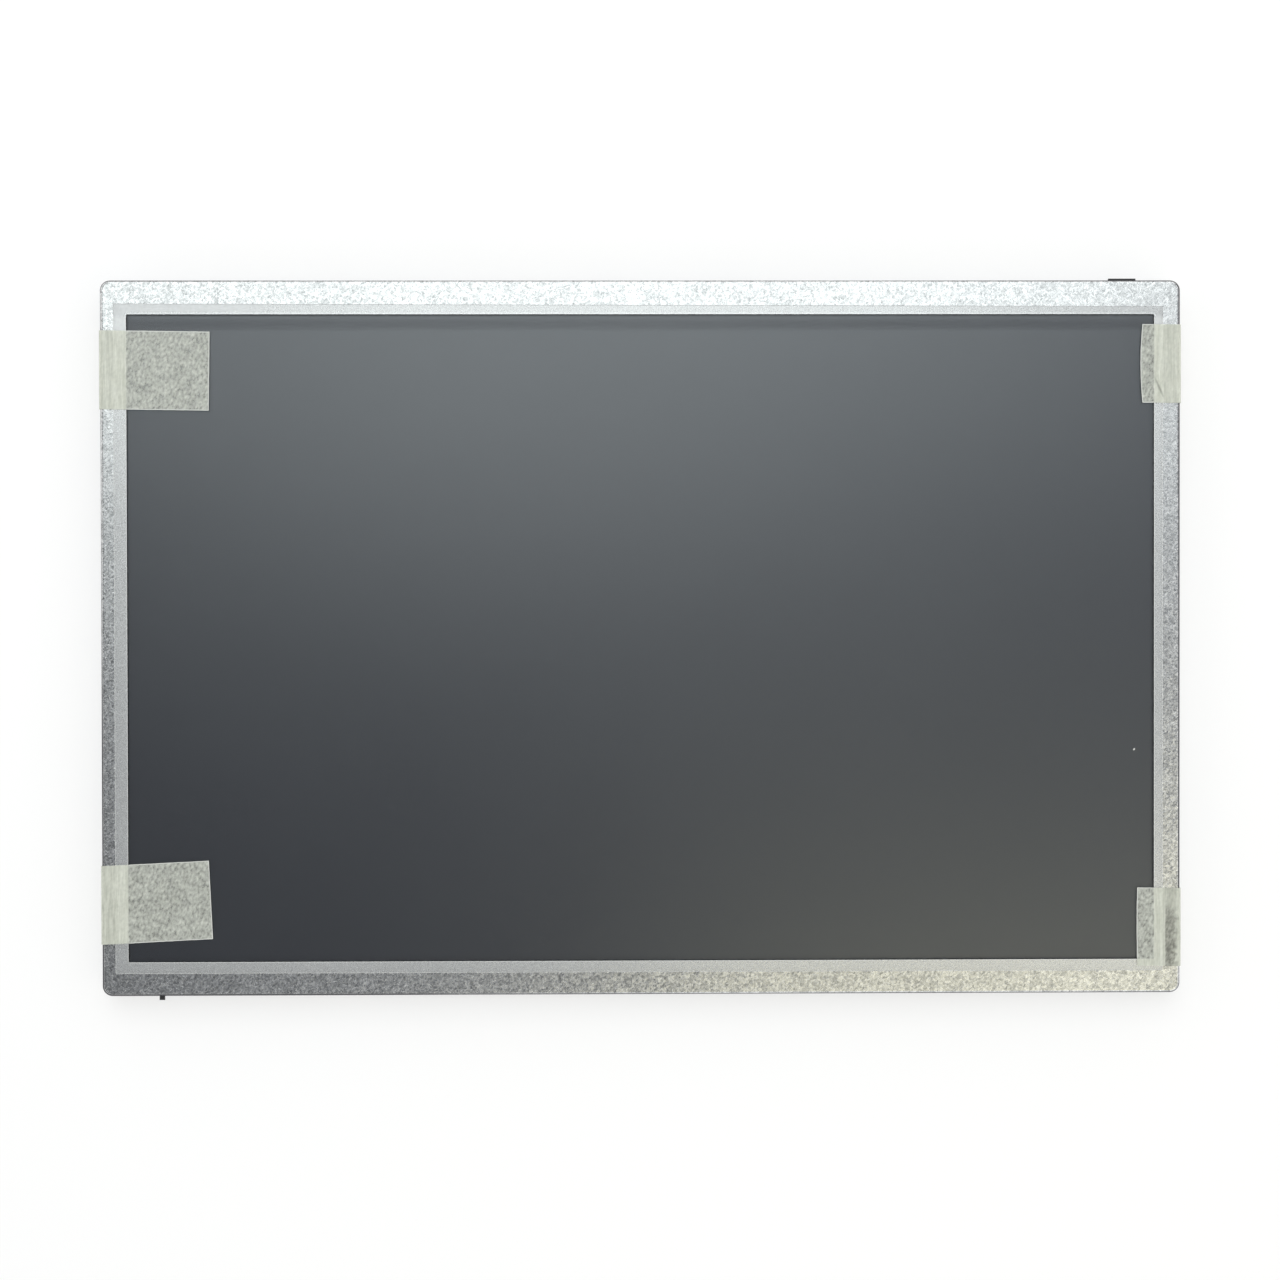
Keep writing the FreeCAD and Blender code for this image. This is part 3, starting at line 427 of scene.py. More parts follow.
def silicon_finish():
    """Dark crystal with the lines of the grinding wheel."""
    made, tree, shader, place = new_finish("ground silicon")
    ground = speckle(tree, place, 0.4 * MM, 4.0, stretch=(10.0, 1.0, 1.0))
    tone = blend_of(tree, ground, (0.035, 0.036, 0.04, 1), (0.075, 0.077, 0.085, 1))
    set_shader(tree, shader, Base_Color=tone, IOR=2.2, Roughness=spread_of(tree, ground, 0.16, 0.3))
    return made


dress(driver_finish(), *(f"driver_film_{n}" for n in DRIVERS))
dress(silicon_finish(), *(f"driver_chip_{n}" for n in DRIVERS))


# Controller board: a narrow green circuit board on a black insulating sheet, along the lower back.
# Glass-fibre laminate under a glossy solder mask; copper lines show through it as paler green.

FLAT = (1.0, 1.0, 0.0)
PATCH_SCALE = 190.0
PATCH_UPRIGHT = 0.45
PATCH_BARE = 0.3
BOARD_LINES = (0.3, 0.14, 0.16)
VIA_SCALE = 360.0
VIA_EDGE = (0.24, 0.27)
VIA_SKIPPED = 0.62


def between(tree, share, first, second):
    """A value between two others."""
    return add(tree, "ShaderNodeMix", {0: share, 2: first, 3: second}).outputs[0]


def flat_distance(tree, place, centre):
    """How far a place lies from a centre, seen from above."""
    apart = vector_of(tree, "SUBTRACT", place, centre)
    return vector_of(tree, "LENGTH", vector_of(tree, "MULTIPLY", apart, FLAT))


def board_finish():
    """Green lacquer over patches of copper lines, with a raster of tinned holes."""
    made, tree, shader, place = new_finish("green solder mask")
    at = axes_of(tree, place)
    patches = add(tree, "ShaderNodeTexVoronoi", {"Vector": place, "Scale": PATCH_SCALE, "Randomness": 0.85},
                  distance="CHEBYCHEV")
    pick = pick_of(tree, patches.outputs["Color"])
    level = lines_of(tree, at["Y"], *BOARD_LINES)
    upright = lines_of(tree, at["X"], *BOARD_LINES)
    lines = between(tree, sum_of(tree, "GREATER_THAN", pick["Red"], PATCH_UPRIGHT), level, upright)
    routed = product_of(tree, lines, sum_of(tree, "GREATER_THAN", pick["Green"], PATCH_BARE))
    holes = add(tree, "ShaderNodeTexVoronoi", {"Vector": place, "Scale": VIA_SCALE, "Randomness": 0.0})
    away = flat_distance(tree, place, holes.outputs["Position"])
    drilled = sum_of(tree, "GREATER_THAN", pick_of(tree, holes.outputs["Color"])["Blue"], VIA_SKIPPED)
    via = product_of(tree, span_of(tree, away, *VIA_EDGE, 1.0, 0.0), drilled)
    cloud = speckle(tree, place, 8.0 * MM)
    tone = blend_of(tree, cloud, (0.006, 0.085, 0.03, 1), (0.009, 0.105, 0.038, 1))
    tone = blend_of(tree, routed, tone, (0.022, 0.175, 0.06, 1))
    tone = blend_of(tree, via, tone, (0.62, 0.6, 0.54, 1))
    set_shader(tree, shader, Base_Color=tone, Metallic=via, Roughness=spread_of(tree, cloud, 0.24, 0.36))
    raise_surface(tree, shader, (routed, 0.02 * MM))
    return made


def insulator_finish():
    """Black plastic sheet, slightly rubbed."""
    made, tree, shader, place = new_finish("black insulating sheet")
    cloud = speckle(tree, place, 10.0 * MM)
    rub = speckle(tree, place, 1.2 * MM, 4.0, stretch=(5.0, 1.0, 1.0), turn=0.3)
    tone = blend_of(tree, rub, (0.012, 0.012, 0.013, 1), (0.026, 0.026, 0.028, 1))
    set_shader(tree, shader, Base_Color=tone, Roughness=spread_of(tree, cloud, 0.22, 0.34))
    return made


dress(board_finish(), "controller_board")
dress(insulator_finish(), "board_insulator")


# Sockets: low ivory housings on the board, open towards the middle of the back.
# Glass-filled nylon with a row of tinned bronze contacts, soldered down by their feet.

def tin_finish(name, tone, bright):
    """Dull tin: soft grey metal with slight clouding."""
    made, tree, shader, place = new_finish(name)
    cloud = speckle(tree, place, 0.6 * MM, 4.0)
    set_shader(tree, shader, Metallic=1.0, Base_Color=blend_of(tree, cloud, tone, bright),
               Roughness=spread_of(tree, cloud, 0.2, 0.38))
    raise_surface(tree, shader, (cloud, 0.01 * MM))
    return made


tinned = tin_finish("tinned bronze", tone=(0.62, 0.61, 0.58, 1), bright=(0.82, 0.81, 0.78, 1))
dress(moulding_finish("ivory nylon", tone=(0.66, 0.62, 0.51, 1), worn=(0.72, 0.68, 0.57, 1),
                      smooth=0.36, rough=0.5, depth=0.012 * MM),
      "signal_socket", "backlight_socket")
dress(tinned, "signal_socket_contacts", "backlight_socket_contacts")


# Chips: four moulded epoxy packages soldered to the board, each with a shallow dot at one corner.
# The two leaded ones stand on rows of thin tinned legs, bent out and down to the board.

BOARD_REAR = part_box("controller_board")[0].z
CHIP_DOTS = ((-14.2, -70.2), (-30.2, -73.6), (21.8, -73.2), (57.6, -73.6))
DOT_RIM = (0.42, 0.5)
LEADED = (dict(x=-9.44, y=-75.0, half=6.0, count=17, pitch=0.65, sides=4),
          dict(x=-28.32, y=-75.0, half=2.0, count=4, pitch=1.1, sides=2))
LEG_WIDE, LEG_THICK = 0.28 * MM, 0.12 * MM
LEG_STEPS = ((0.0, -0.35 * MM, 0.0), (0.0, -0.2 * MM, 0.42 * MM), (0.0, -0.5 * MM, 0.0))
LEG_ABOVE = 0.48 * MM
LEG_ROOT = 0.05
WELD = 1e-7


def epoxy_finish():
    """Black moulding compound, each dot smooth and sunk."""
    made, tree, shader, place = new_finish("black epoxy")
    grain = grain_of(tree, place)
    nearest = None
    for x, y in CHIP_DOTS:
        away = flat_distance(tree, place, (x * MM, y * MM, 0.0))
        nearest = away if nearest is None else sum_of(tree, "MINIMUM", nearest, away)
    dot = span_of(tree, nearest, *DOT_RIM, 1.0, 0.0)
    tone = blend_of(tree, grain["Cloud"], (0.016, 0.016, 0.017, 1), (0.03, 0.03, 0.031, 1))
    set_shader(tree, shader, Base_Color=tone, Roughness=range_of(tree, dot, 0.0, 1.0, 0.52, 0.3))
    raise_surface(tree, shader, (grain["Pit"], 0.015 * MM), (dot, -0.06 * MM))
    return made


def bent_leg(bm, out, side, start):
    """One thin leg: a square end drawn out of the package, down to the board and along it."""
    made = bmesh.ops.create_grid(bm, x_segments=1, y_segments=1, size=0.5)["verts"]
    bmesh.ops.scale(bm, vec=(LEG_WIDE, LEG_THICK, 1.0), verts=made)
    bmesh.ops.rotate(bm, cent=(0, 0, 0), matrix=Matrix.Rotation(math.pi / 2, 3, "X"), verts=made)
    face = list({f for v in made for f in v.link_faces})
    chain = list(made)
    for step in LEG_STEPS:
        grown = bmesh.ops.extrude_face_region(bm, geom=face)["geom"]
        end = [g for g in grown if isinstance(g, bmesh.types.BMVert)]
        bmesh.ops.delete(bm, geom=face, context="FACES_ONLY")
        face = [g for g in grown if isinstance(g, bmesh.types.BMFace)]
        bmesh.ops.translate(bm, vec=step, verts=end)
        chain += end
    placed = Matrix.Translation(start) @ Matrix.Rotation(side, 4, "Z") @ Matrix.Translation((0, -out, 0))
    bmesh.ops.transform(bm, matrix=placed, verts=chain)


def leg_rows(bm, x, y, half, count, pitch, sides):
    """The legs of one package, in a row along each of its sides."""
    centre = Vector((x * MM, y * MM, BOARD_REAR - LEG_ABOVE))
    for turn in range(sides):
        side = turn * 2 * math.pi / sides
        for n in range(count):
            shift = Vector(((n - (count - 1) / 2) * pitch * MM, 0.0, 0.0))
            shift.rotate(Matrix.Rotation(side, 3, "Z"))
            bent_leg(bm, (half - LEG_ROOT) * MM, side, centre + shift)


def keep_piece(name, bm, materials, slot, *nodes):
    """A finished mesh as a piece of the object, in place of any nodes that it stands for."""
    bmesh.ops.remove_doubles(bm, verts=bm.verts, dist=WELD)
    bmesh.ops.recalc_face_normals(bm, faces=bm.faces)
    mesh = bpy.data.meshes.new(name)
    bm.to_mesh(mesh)
    bm.free()
    for material in materials:
        mesh.materials.append(material)
    piece = bpy.data.objects.new(name, mesh)
    bpy.context.scene.collection.objects.link(piece)
    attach(piece, "root")
    if nodes:
        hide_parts(*nodes)


dress(epoxy_finish(), "timing_controller", "memory_chip", "power_chip", "backlight_chip")
legs = bmesh.new()
for package in LEADED:
    leg_rows(legs, **package)
keep_piece("chip_legs", legs, [tinned], "contact")


# Small components: ferrite-cored inductors, and rows of ceramic capacitors and resistors.
# Each has tinned ends, soldered flat to the board by reflow.

CAPACITOR_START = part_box("filter_capacitors")[0].x
CAPACITOR_HALF = 1.6 * MM
CAPACITOR_PITCH = 5.31 * MM
CAP_TONE = (0.74, 0.73, 0.7, 1)
CAP_BLUR = 0.03 * MM


def inductor_finish():
    """Dark sintered ferrite, slightly chipped."""
    made, tree, shader, place = new_finish("ferrite")
    grain = grain_of(tree, place)
    chip = speckle(tree, place, 0.7 * MM, 4.0)
    tone = blend_of(tree, chip, (0.035, 0.034, 0.033, 1), (0.085, 0.083, 0.08, 1))
    set_shader(tree, shader, Base_Color=tone, Roughness=range_of(tree, grain["Cloud"], 0.0, 1.0, 0.4, 0.6))
    raise_surface(tree, shader, (chip, 0.04 * MM))
    return made


def ceramic_finish(name, tone, worn, axis, middle, half, cap, pitch=None):
    """A fired ceramic body with tinned ends, repeated along the axis if there is a pitch."""
    made, tree, shader, place = new_finish(name)
    apart = sum_of(tree, "SUBTRACT", axes_of(tree, place)[axis], middle)
    if pitch:
        apart = sum_of(tree, "WRAP", apart, pitch / 2, -pitch / 2)
    start = half - cap
    end = range_of(tree, sum_of(tree, "ABSOLUTE", apart), start - CAP_BLUR, start + CAP_BLUR)
    cloud = speckle(tree, place, 0.6 * MM, 4.0)
    body = blend_of(tree, cloud, tone, worn)
    set_shader(tree, shader, Base_Color=blend_of(tree, end, body, CAP_TONE), Metallic=end,
               Roughness=spread_of(tree, cloud, 0.28, 0.42))
    raise_surface(tree, shader, (end, 0.03 * MM), (cloud, 0.015 * MM))
    return made


dress(inductor_finish(), "power_inductors")
dress(ceramic_finish("buff ceramic", tone=(0.36, 0.25, 0.15, 1), worn=(0.42, 0.3, 0.19, 1), axis="X",
                     middle=CAPACITOR_START + CAPACITOR_HALF, half=CAPACITOR_HALF, cap=0.5 * MM,
                     pitch=CAPACITOR_PITCH),
      "filter_capacitors")
dress(ceramic_finish("brown ceramic", tone=(0.27, 0.17, 0.09, 1), worn=(0.34, 0.22, 0.13, 1), axis="Y",
                     middle=-79.5 * MM, half=0.8 * MM, cap=0.35 * MM),
      "chip_capacitors")
dress(ceramic_finish("black glaze", tone=(0.012, 0.012, 0.014, 1), worn=(0.022, 0.022, 0.025, 1), axis="Y",
                     middle=-72.0 * MM, half=0.5 * MM, cap=0.2 * MM),
      "chip_resistors")


# Screws: two short ones at the top of the pan and four that hold the board.
# Rolled steel with a bright nickel plate, a low rounded head and a cross recess.

RECESS_FLOOR = dict(arm=0.5, half=0.1, height=-0.3)
RECESS_RIM = dict(arm=0.95, half=0.24, height=-0.8)
HEAD_RINGS = ((1.25, -0.8), (1.52, -0.74), (1.68, -0.55), (1.7, -0.3), (1.7, 0.0), (0.8, 0.0))
HEAD_HEIGHT = 0.8
RIDGE, GROOVE, POINT = 0.8, 0.66, 0.5
THREAD = 0.4
SCREW_ROWS = {"top_screws": (-70.0, 70.0), "board_screws": (-112.0, -112.0 / 3, 112.0 / 3, 112.0)}


def ring(bm, radius, height):
    """One round edge loop, its sizes in millimetres."""
    verts = bmesh.ops.create_circle(bm, segments=24, radius=radius * MM)["verts"]
    bmesh.ops.translate(bm, vec=(0, 0, height * MM), verts=verts)
    return verts


def cross(bm, arm, half, height):
    """One cross-shaped edge loop, its sizes in millimetres."""
    verts = []
    for turn in range(4):
        spun = Matrix.Rotation(turn * math.pi / 2, 3, "Z")
        for x, y in ((arm, -half), (arm, half), (half, half)):
            verts.append(bm.verts.new(spun @ Vector((x * MM, y * MM, height * MM))))
    for one, other in zip(verts, verts[1:] + verts[:1]):
        bm.edges.new((one, other))
    return verts


def edges_of(verts):
    """The edges that join these points."""
    chosen = set(verts)
    return [e for e in {e for v in verts for e in v.link_edges} if set(e.verts) <= chosen]


def screw(bm, x, y, seat, depth):
    """Loops from the recess, over the head, down the ridged shank to its point."""
    loops = [cross(bm, **RECESS_FLOOR), cross(bm, **RECESS_RIM)]
    loops += [ring(bm, radius, height) for radius, height in HEAD_RINGS]
    for n in range(int(depth / (THREAD * MM))):
        loops.append(ring(bm, GROOVE, THREAD * n + THREAD / 2))
        loops.append(ring(bm, RIDGE, THREAD * n + THREAD))
    loops.append(ring(bm, POINT, depth / MM))
    for one, other in zip(loops, loops[1:]):
        bmesh.ops.bridge_loops(bm, edges=edges_of(one) + edges_of(other))
    for last in (loops[0], loops[-1]):
        bmesh.ops.contextual_create(bm, geom=edges_of(last))
    bmesh.ops.translate(bm, vec=(x, y, seat), verts=[v for loop in loops for v in loop])


nickel = tin_finish("nickel plate", tone=(0.6, 0.59, 0.56, 1), bright=(0.76, 0.75, 0.72, 1))
for name, row in SCREW_ROWS.items():
    low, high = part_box(name)
    seat = low.z + HEAD_HEIGHT * MM
    heads = bmesh.new()
    for x in row:
        screw(heads, x * MM, (low.y + high.y) / 2, seat, high.z - seat)
    keep_piece(name + "_turned", heads, [nickel], "screw", name)


# Front bezel: the folded sheet that clamps the cell, its sides wrapped round the pan.
# Bright galvanised steel, 0.5 mm, cut and folded after plating, so the spangle is crisp.
# The outer fold is darkened by a line of painted shade, and the zinc is even under the film.

BEZEL_HALF = (139.0 * MM, 92.0 * MM)
BEZEL_CORNER = 2.6 * MM
OPENING = (132.15 * MM, 83.2 * MM)
OPENING_CORNER = 0.3 * MM
FOLD_INSIDE = (-0.7, -0.5)
FOLD_BRINK = (-0.5, -0.3)
FOLD_TOP = (7.8, 8.3)
NICK = dict(x=138.1, y=-88.4, long=1.3, wide=0.45, turn=1.45, core=0.4, full=0.7)
FILM_ASKEW = 0.7 * MM
film_low, film_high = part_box("protective_film")
FILM_LOW = film_low + Vector((0.45 * MM, 0.0, 0.0))
FILM_HIGH = film_high - Vector((0.6 * MM, 0.2 * MM, 0.0))
FILM_MIDDLE = (FILM_LOW + FILM_HIGH) / 2
FILM_HALF = (FILM_HIGH - FILM_LOW) / 2
FILM_BRINK = (-0.2, 0.0)
FILM_CONTRAST = 0.1


def out_of_frame(tree, place, half, radius):
    """How far a point lies outside a rounded rectangle; inside it this is negative."""
    core = (half[0] - radius, half[1] - radius, 0.0)
    past = vector_of(tree, "SUBTRACT", vector_of(tree, "ABSOLUTE", place), core)
    axes = axes_of(tree, past)
    over = vector_of(tree, "MAXIMUM", past)
    far = vector_of(tree, "LENGTH", vector_of(tree, "MULTIPLY", over, FLAT))
    near = sum_of(tree, "MINIMUM", largest_of(tree, axes["X"], axes["Y"]), 0.0)
    return sum_of(tree, "SUBTRACT", sum_of(tree, "ADD", far, near), radius)


def mark(tree, place, x, y, long, wide, turn, core=0.0, full=1.0):
    """One oval mark: full at its core, fading to nothing at its rim."""
    laid = laid_at(tree, place, (long / 2 * MM, wide / 2 * MM, 1.0), turn, (x * MM, y * MM, 0.0))
    return range_of(tree, vector_of(tree, "LENGTH", laid), core, 1.0, full, 0.0)


def fold_shade_and_nick(tree, place):
    """Painted shade as a dark line round the outer fold, broad at the lower left and on the right, and one
    nick of wear.
    """
    out = out_of_frame(tree, place, BEZEL_HALF, BEZEL_CORNER)
    at = axes_of(tree, place)
    right = product_of(tree, span_of(tree, at["X"], 137.2, 138.0),
                       span_of(tree, at["Y"], -89.0, -80.0, 0.3))
    lower_left = product_of(tree, span_of(tree, at["X"], -60.0, 30.0, 1.0, 0.0),
                            span_of(tree, at["Y"], -30.0, 50.0, 1.0, 0.1))
    broad = largest_of(tree, lower_left, right)
    top = largest_of(tree, span_of(tree, at["X"], -130.0, -80.0, 0.85, 0.5),
                     span_of(tree, at["X"], 60.0, 130.0, 0.5))
    top = product_of(tree, top, span_of(tree, at["Y"], 86.0, 90.5))
    low = span_of(tree, at["Y"], -90.5, -86.0, 0.85, 0.5)
    thin = largest_of(tree, broad, low, top)
    fold = between(tree, span_of(tree, out, *FOLD_BRINK), broad, thin)
    fold = product_of(tree, fold, span_of(tree, out, *FOLD_INSIDE), span_of(tree, at["Z"], *FOLD_TOP))
    return largest_of(tree, fold, mark(tree, place, **NICK))


def out_of_film(tree, place):
    """How far a point lies past the film's cut edges, of which the top one runs slightly askew."""
    at = axes_of(tree, place)
    lower = product_of(tree, range_of(tree, at["X"], FILM_LOW.x, FILM_HIGH.x, 0.0, FILM_ASKEW),
                       sum_of(tree, "GREATER_THAN", at["Y"], FILM_MIDDLE.y))
    shift = add(tree, "ShaderNodeCombineXYZ",
                {"X": -FILM_MIDDLE.x, "Y": sum_of(tree, "SUBTRACT", lower, FILM_MIDDLE.y)}).outputs[0]
    return out_of_frame(tree, vector_of(tree, "ADD", place, shift), FILM_HALF, OPENING_CORNER)


def under_film(tree, place):
    """The spangle's contrast: full in the open, less where the film has lain on the zinc."""
    return span_of(tree, out_of_film(tree, place), *FILM_BRINK, FILM_CONTRAST)


# The bezel's worn mask paints shade along the outer fold and marks one nick.
dress(zinc_finish("bright galvanised sheet", dark=(0.345, 0.355, 0.358, 1), light=(0.91, 0.922, 0.92, 1),
                  crystal=0.7 * MM, tilt=0.035, smooth=0.22, rough=0.3,
                  worn=fold_shade_and_nick, contrast=under_film),
      "front_bezel")


# Protective film: a loose matte polyester sheet laid over the screen and the inner bezel, cut by hand.
# It clings to the metal and hazes it, and over the screen it only greys the reflection.

FILM_CLEAR = 0.012 * MM
FILM_CELLS = (134, 86)
SHADE_WIDTH = 0.32 * MM
SAG_DEPTH = 0.13 * MM
SAG_TOP, SAG_LOW, SAG_SIDE = 4.0 * MM, 40.0 * MM, 30.0 * MM
SAG_CUTS = 10
SAG_STEP = 0.45 * MM
ON_METAL, ON_SCREEN, INNER_FACE, OVER_GAP = range(4)
FILM_RELIEF = 0.004 * MM
TOP_STRIP = (82.0, 83.1)
BEND_EDGE = (0.1, 0.3)
CLEAR_EDGE = (0.3, 0.6)
CLEAR_SHARE = 0.6
CUT_EDGE = (-0.25, -0.1)
END_ACROSS = (60.0, 115.0)
END_UP = (70.0, 80.0)
END_GAIN = 1.45
HIGHLIGHT_SHARE = 0.55
SHADE_ACROSS = (50.0, 120.0)
SCREEN_SHARE = 0.12
SPECK = dict(x=127.0, y=-29.0, long=1.0, wide=0.6, turn=0.9, core=0.5)
SPECK_SHARE = 0.9
SCUFFS = (dict(x=6.8, y=40.6, long=2.2, wide=0.6, turn=0.55, core=0.2),
          dict(x=-37.0, y=-4.4, long=20.0, wide=2.4, turn=0.0, full=0.7),
          dict(x=-40.4, y=2.1, long=0.8, wide=0.5, turn=0.3, core=0.3))


def rest_of(tree, share):
    """What a share leaves of the whole."""
    return sum_of(tree, "SUBTRACT", 1.0, share)


def underside_finish(name, tone, deep, share):
    """The clear inner face of a thin sheet, which adds a slight tint."""
    made, tree, shader, place = new_finish(name)
    cloud = speckle(tree, place, 2.0 * MM, 4.0)
    set_shader(tree, shader, Base_Color=blend_of(tree, cloud, tone, deep), Roughness=0.4,
               Alpha=spread_of(tree, cloud, share * 0.6, share * 1.4))
    return made


def film_over_metal():
    """It hazes the zinc, clearer along the top; painted highlights whiten its bend and cut edge, and
    painted shade greys the top strip.
    """
    made, tree, shader, place = new_finish("matte film on metal")
    haze = speckle(tree, place, 0.9 * MM)
    share = spread_of(tree, haze, 0.235, 0.27)
    at = axes_of(tree, place)
    upper = span_of(tree, at["Y"], *TOP_STRIP)
    outside = out_of_frame(tree, place, OPENING, OPENING_CORNER)
    bend_highlight = product_of(tree, span_of(tree, outside, *BEND_EDGE, 1.0, 0.0), rest_of(tree, upper))
    clear = product_of(tree, span_of(tree, outside, *CLEAR_EDGE, CLEAR_SHARE, 0.0), upper)
    painted_cut_edge = span_of(tree, out_of_film(tree, place), *CUT_EDGE)
    # The bend and the cut edge carry a painted highlight in white.
    line = largest_of(tree, bend_highlight, painted_cut_edge)
    end = product_of(tree, span_of(tree, sum_of(tree, "ABSOLUTE", at["X"]), *END_ACROSS),
                     span_of(tree, at["Y"], *END_UP))
    share = product_of(tree, share, range_of(tree, end, 0.0, 1.0, 1.0, END_GAIN), rest_of(tree, clear))
    share = largest_of(tree, share, product_of(tree, line, HIGHLIGHT_SHARE))
    tone = blend_of(tree, line, (0.81, 0.822, 0.825, 1), (0.9, 0.91, 0.9, 1))
    # Painted shade greys the top strip, more towards the right, and the cut edge along it.
    shade_across = span_of(tree, at["X"], *SHADE_ACROSS, 0.45, 0.8)
    top_shade = product_of(tree, largest_of(tree, painted_cut_edge, shade_across), upper)
    tone = blend_of(tree, top_shade, tone, (0.5, 0.505, 0.51, 1))
    set_shader(tree, shader, Base_Color=tone, Alpha=share, Roughness=spread_of(tree, haze, 0.4, 0.5))
    raise_surface(tree, shader, (haze, FILM_RELIEF))
    return made


def film_in_shade():
    """The narrow strip of film just inside the opening, darkened by painted shade over the gap beside the
    cell.
    """
    made, tree, shader, place = new_finish("matte film with painted gap shade")
    haze = speckle(tree, place, 0.7 * MM)
    tone = blend_of(tree, haze, (0.003, 0.003, 0.004, 1), (0.006, 0.006, 0.007, 1))
    set_shader(tree, shader, Base_Color=tone, IOR=1.3, Alpha=spread_of(tree, haze, 0.36, 0.48),
               Roughness=spread_of(tree, haze, 0.4, 0.5))
    return made


def film_over_screen():
    """Over the opening it is clear and dulls the cell's mirror, with three scuffs and a speck."""
    made, tree, shader, place = new_finish("matte film on screen")
    haze = speckle(tree, place, 0.7 * MM)
    cloud = speckle(tree, place, 45.0 * MM, 2.0)
    speck = mark(tree, place, **SPECK)
    scuff = largest_of(tree, *(mark(tree, place, **one) for one in SCUFFS))
    share = largest_of(tree, SCREEN_SHARE, product_of(tree, speck, SPECK_SHARE))
    tone = blend_of(tree, scuff, (0.003, 0.004, 0.0085, 1), (0.075, 0.078, 0.084, 1))
    tone = blend_of(tree, speck, tone, (0.8, 0.8, 0.78, 1))
    set_shader(tree, shader, Base_Color=tone, Alpha=share, IOR=1.8, Specular_IOR_Level=1.0,
               Specular_Tint=COAT_TINT, Roughness=spread_of(tree, cloud, 0.27, 0.33))
    raise_surface(tree, shader, (haze, FILM_RELIEF))
    return made


def film_sag(x, y):
    """How far the film hangs into the opening: quickly below its top edge, slowly elsewhere."""
    inside = (OPENING[1] - y, OPENING[1] + y, OPENING[0] - abs(x))
    sag = SAG_DEPTH
    for distance, reach in zip(inside, (SAG_TOP, SAG_LOW, SAG_SIDE)):
        share = min(1.0, max(0.0, distance) / reach)
        sag *= share * share * (3 - 2 * share)
    return sag


def cut_sheet(bm, spot, way):
    """New edges where a plane crosses the whole sheet."""
    bmesh.ops.bisect_plane(bm, geom=bm.verts[:] + bm.edges[:] + bm.faces[:], plane_co=spot, plane_no=way)


sheet = bmesh.new()
bmesh.ops.create_grid(sheet, x_segments=FILM_CELLS[0], y_segments=FILM_CELLS[1], size=0.5)
size = FILM_HIGH - FILM_LOW
bmesh.ops.scale(sheet, vec=(size.x, size.y, 1.0), verts=sheet.verts)
bmesh.ops.translate(sheet, vec=(FILM_MIDDLE.x, FILM_MIDDLE.y, FILM_HIGH.z - FILM_CLEAR), verts=sheet.verts)
for side in (-1, 1):
    for inset in (0.0, SHADE_WIDTH):
        cut_sheet(sheet, (side * (OPENING[0] - inset), 0, 0), (1, 0, 0))
        cut_sheet(sheet, (0, side * (OPENING[1] - inset), 0), (0, 1, 0))
for n in range(1, SAG_CUTS):
    cut_sheet(sheet, (0, OPENING[1] - n * SAG_STEP, 0), (0, 1, 0))
for v in sheet.verts:
    v.co.z -= film_sag(v.co.x, v.co.y)
    past = max(0.0, v.co.y - OPENING[1]) / (FILM_HIGH.y - OPENING[1])
    v.co.y -= FILM_ASKEW * past * (v.co.x - FILM_LOW.x) / size.x
below = bmesh.ops.extrude_face_region(sheet, geom=sheet.faces[:])["geom"]
bmesh.ops.translate(sheet, vec=(0, 0, 2 * FILM_CLEAR - size.z),
                    verts=[g for g in below if isinstance(g, bmesh.types.BMVert)])
bmesh.ops.recalc_face_normals(sheet, faces=sheet.faces)
for f in sheet.faces:
    where = f.calc_center_median()
    f.smooth = abs(f.normal.z) > 0.5
    within = min(OPENING[0] - abs(where.x), OPENING[1] - abs(where.y))
    f.material_index = ON_METAL if within < 0 else OVER_GAP if within < SHADE_WIDTH else ON_SCREEN
    if f.normal.z < -0.5:
        f.material_index = INNER_FACE
film_inside = underside_finish("film underside", (0.58, 0.65, 0.8, 1), (0.66, 0.74, 0.91, 1), share=0.002)
keep_piece("film_sheet", sheet, [film_over_metal(), film_over_screen(), film_inside, film_in_shade()],
           "film", "protective_film")


# Tapes: four strips of cream paper masking tape that hold the film to the bezel.
# They fold round the side walls on to the back; the thin paper lets the dark screen show through.

TAPE_HALF = 10.1 * MM
TAPE_CLEAR = 0.015 * MM
TAPE_CELL = 0.8 * MM
TAPE_FACE = 9.0 * MM
TAPE_TAIL = 3.0 * MM
TAPE_WALL = 138.9 * MM
TAPE_FREE = 137.5 * MM
FREE_FACE = 9.1 * MM
UNEVEN = 0.05
WAVE_SCALE = 900
WAVE_SHIFT = Vector((7.3, 1.9, 0))
LIFT_SCALE = 350
OUTER_PAPER, GLUED_FACE = range(2)
BULGES = {"tape_upper_left": 0.0, "tape_lower_left": 0.0, "tape_upper_right": 0.5, "tape_lower_right": 0.15}
FIBRE_PART, CLUMP_PART = 0.7, 0.3
BACKED_EDGE = (-0.2, 0.1)
BARE_EDGE = (-0.1, 0.2)
RIM_EDGE = (0.1, 0.4)
RIM_HIGHLIGHT_SHARE = 0.75
CREASE = dict(x=133.4, y=64.4, long=7.4, wide=0.8, turn=-1.14, core=0.35)
CREASE_SHADE = 0.75
SOAK_RAGGED = 3.0 * MM


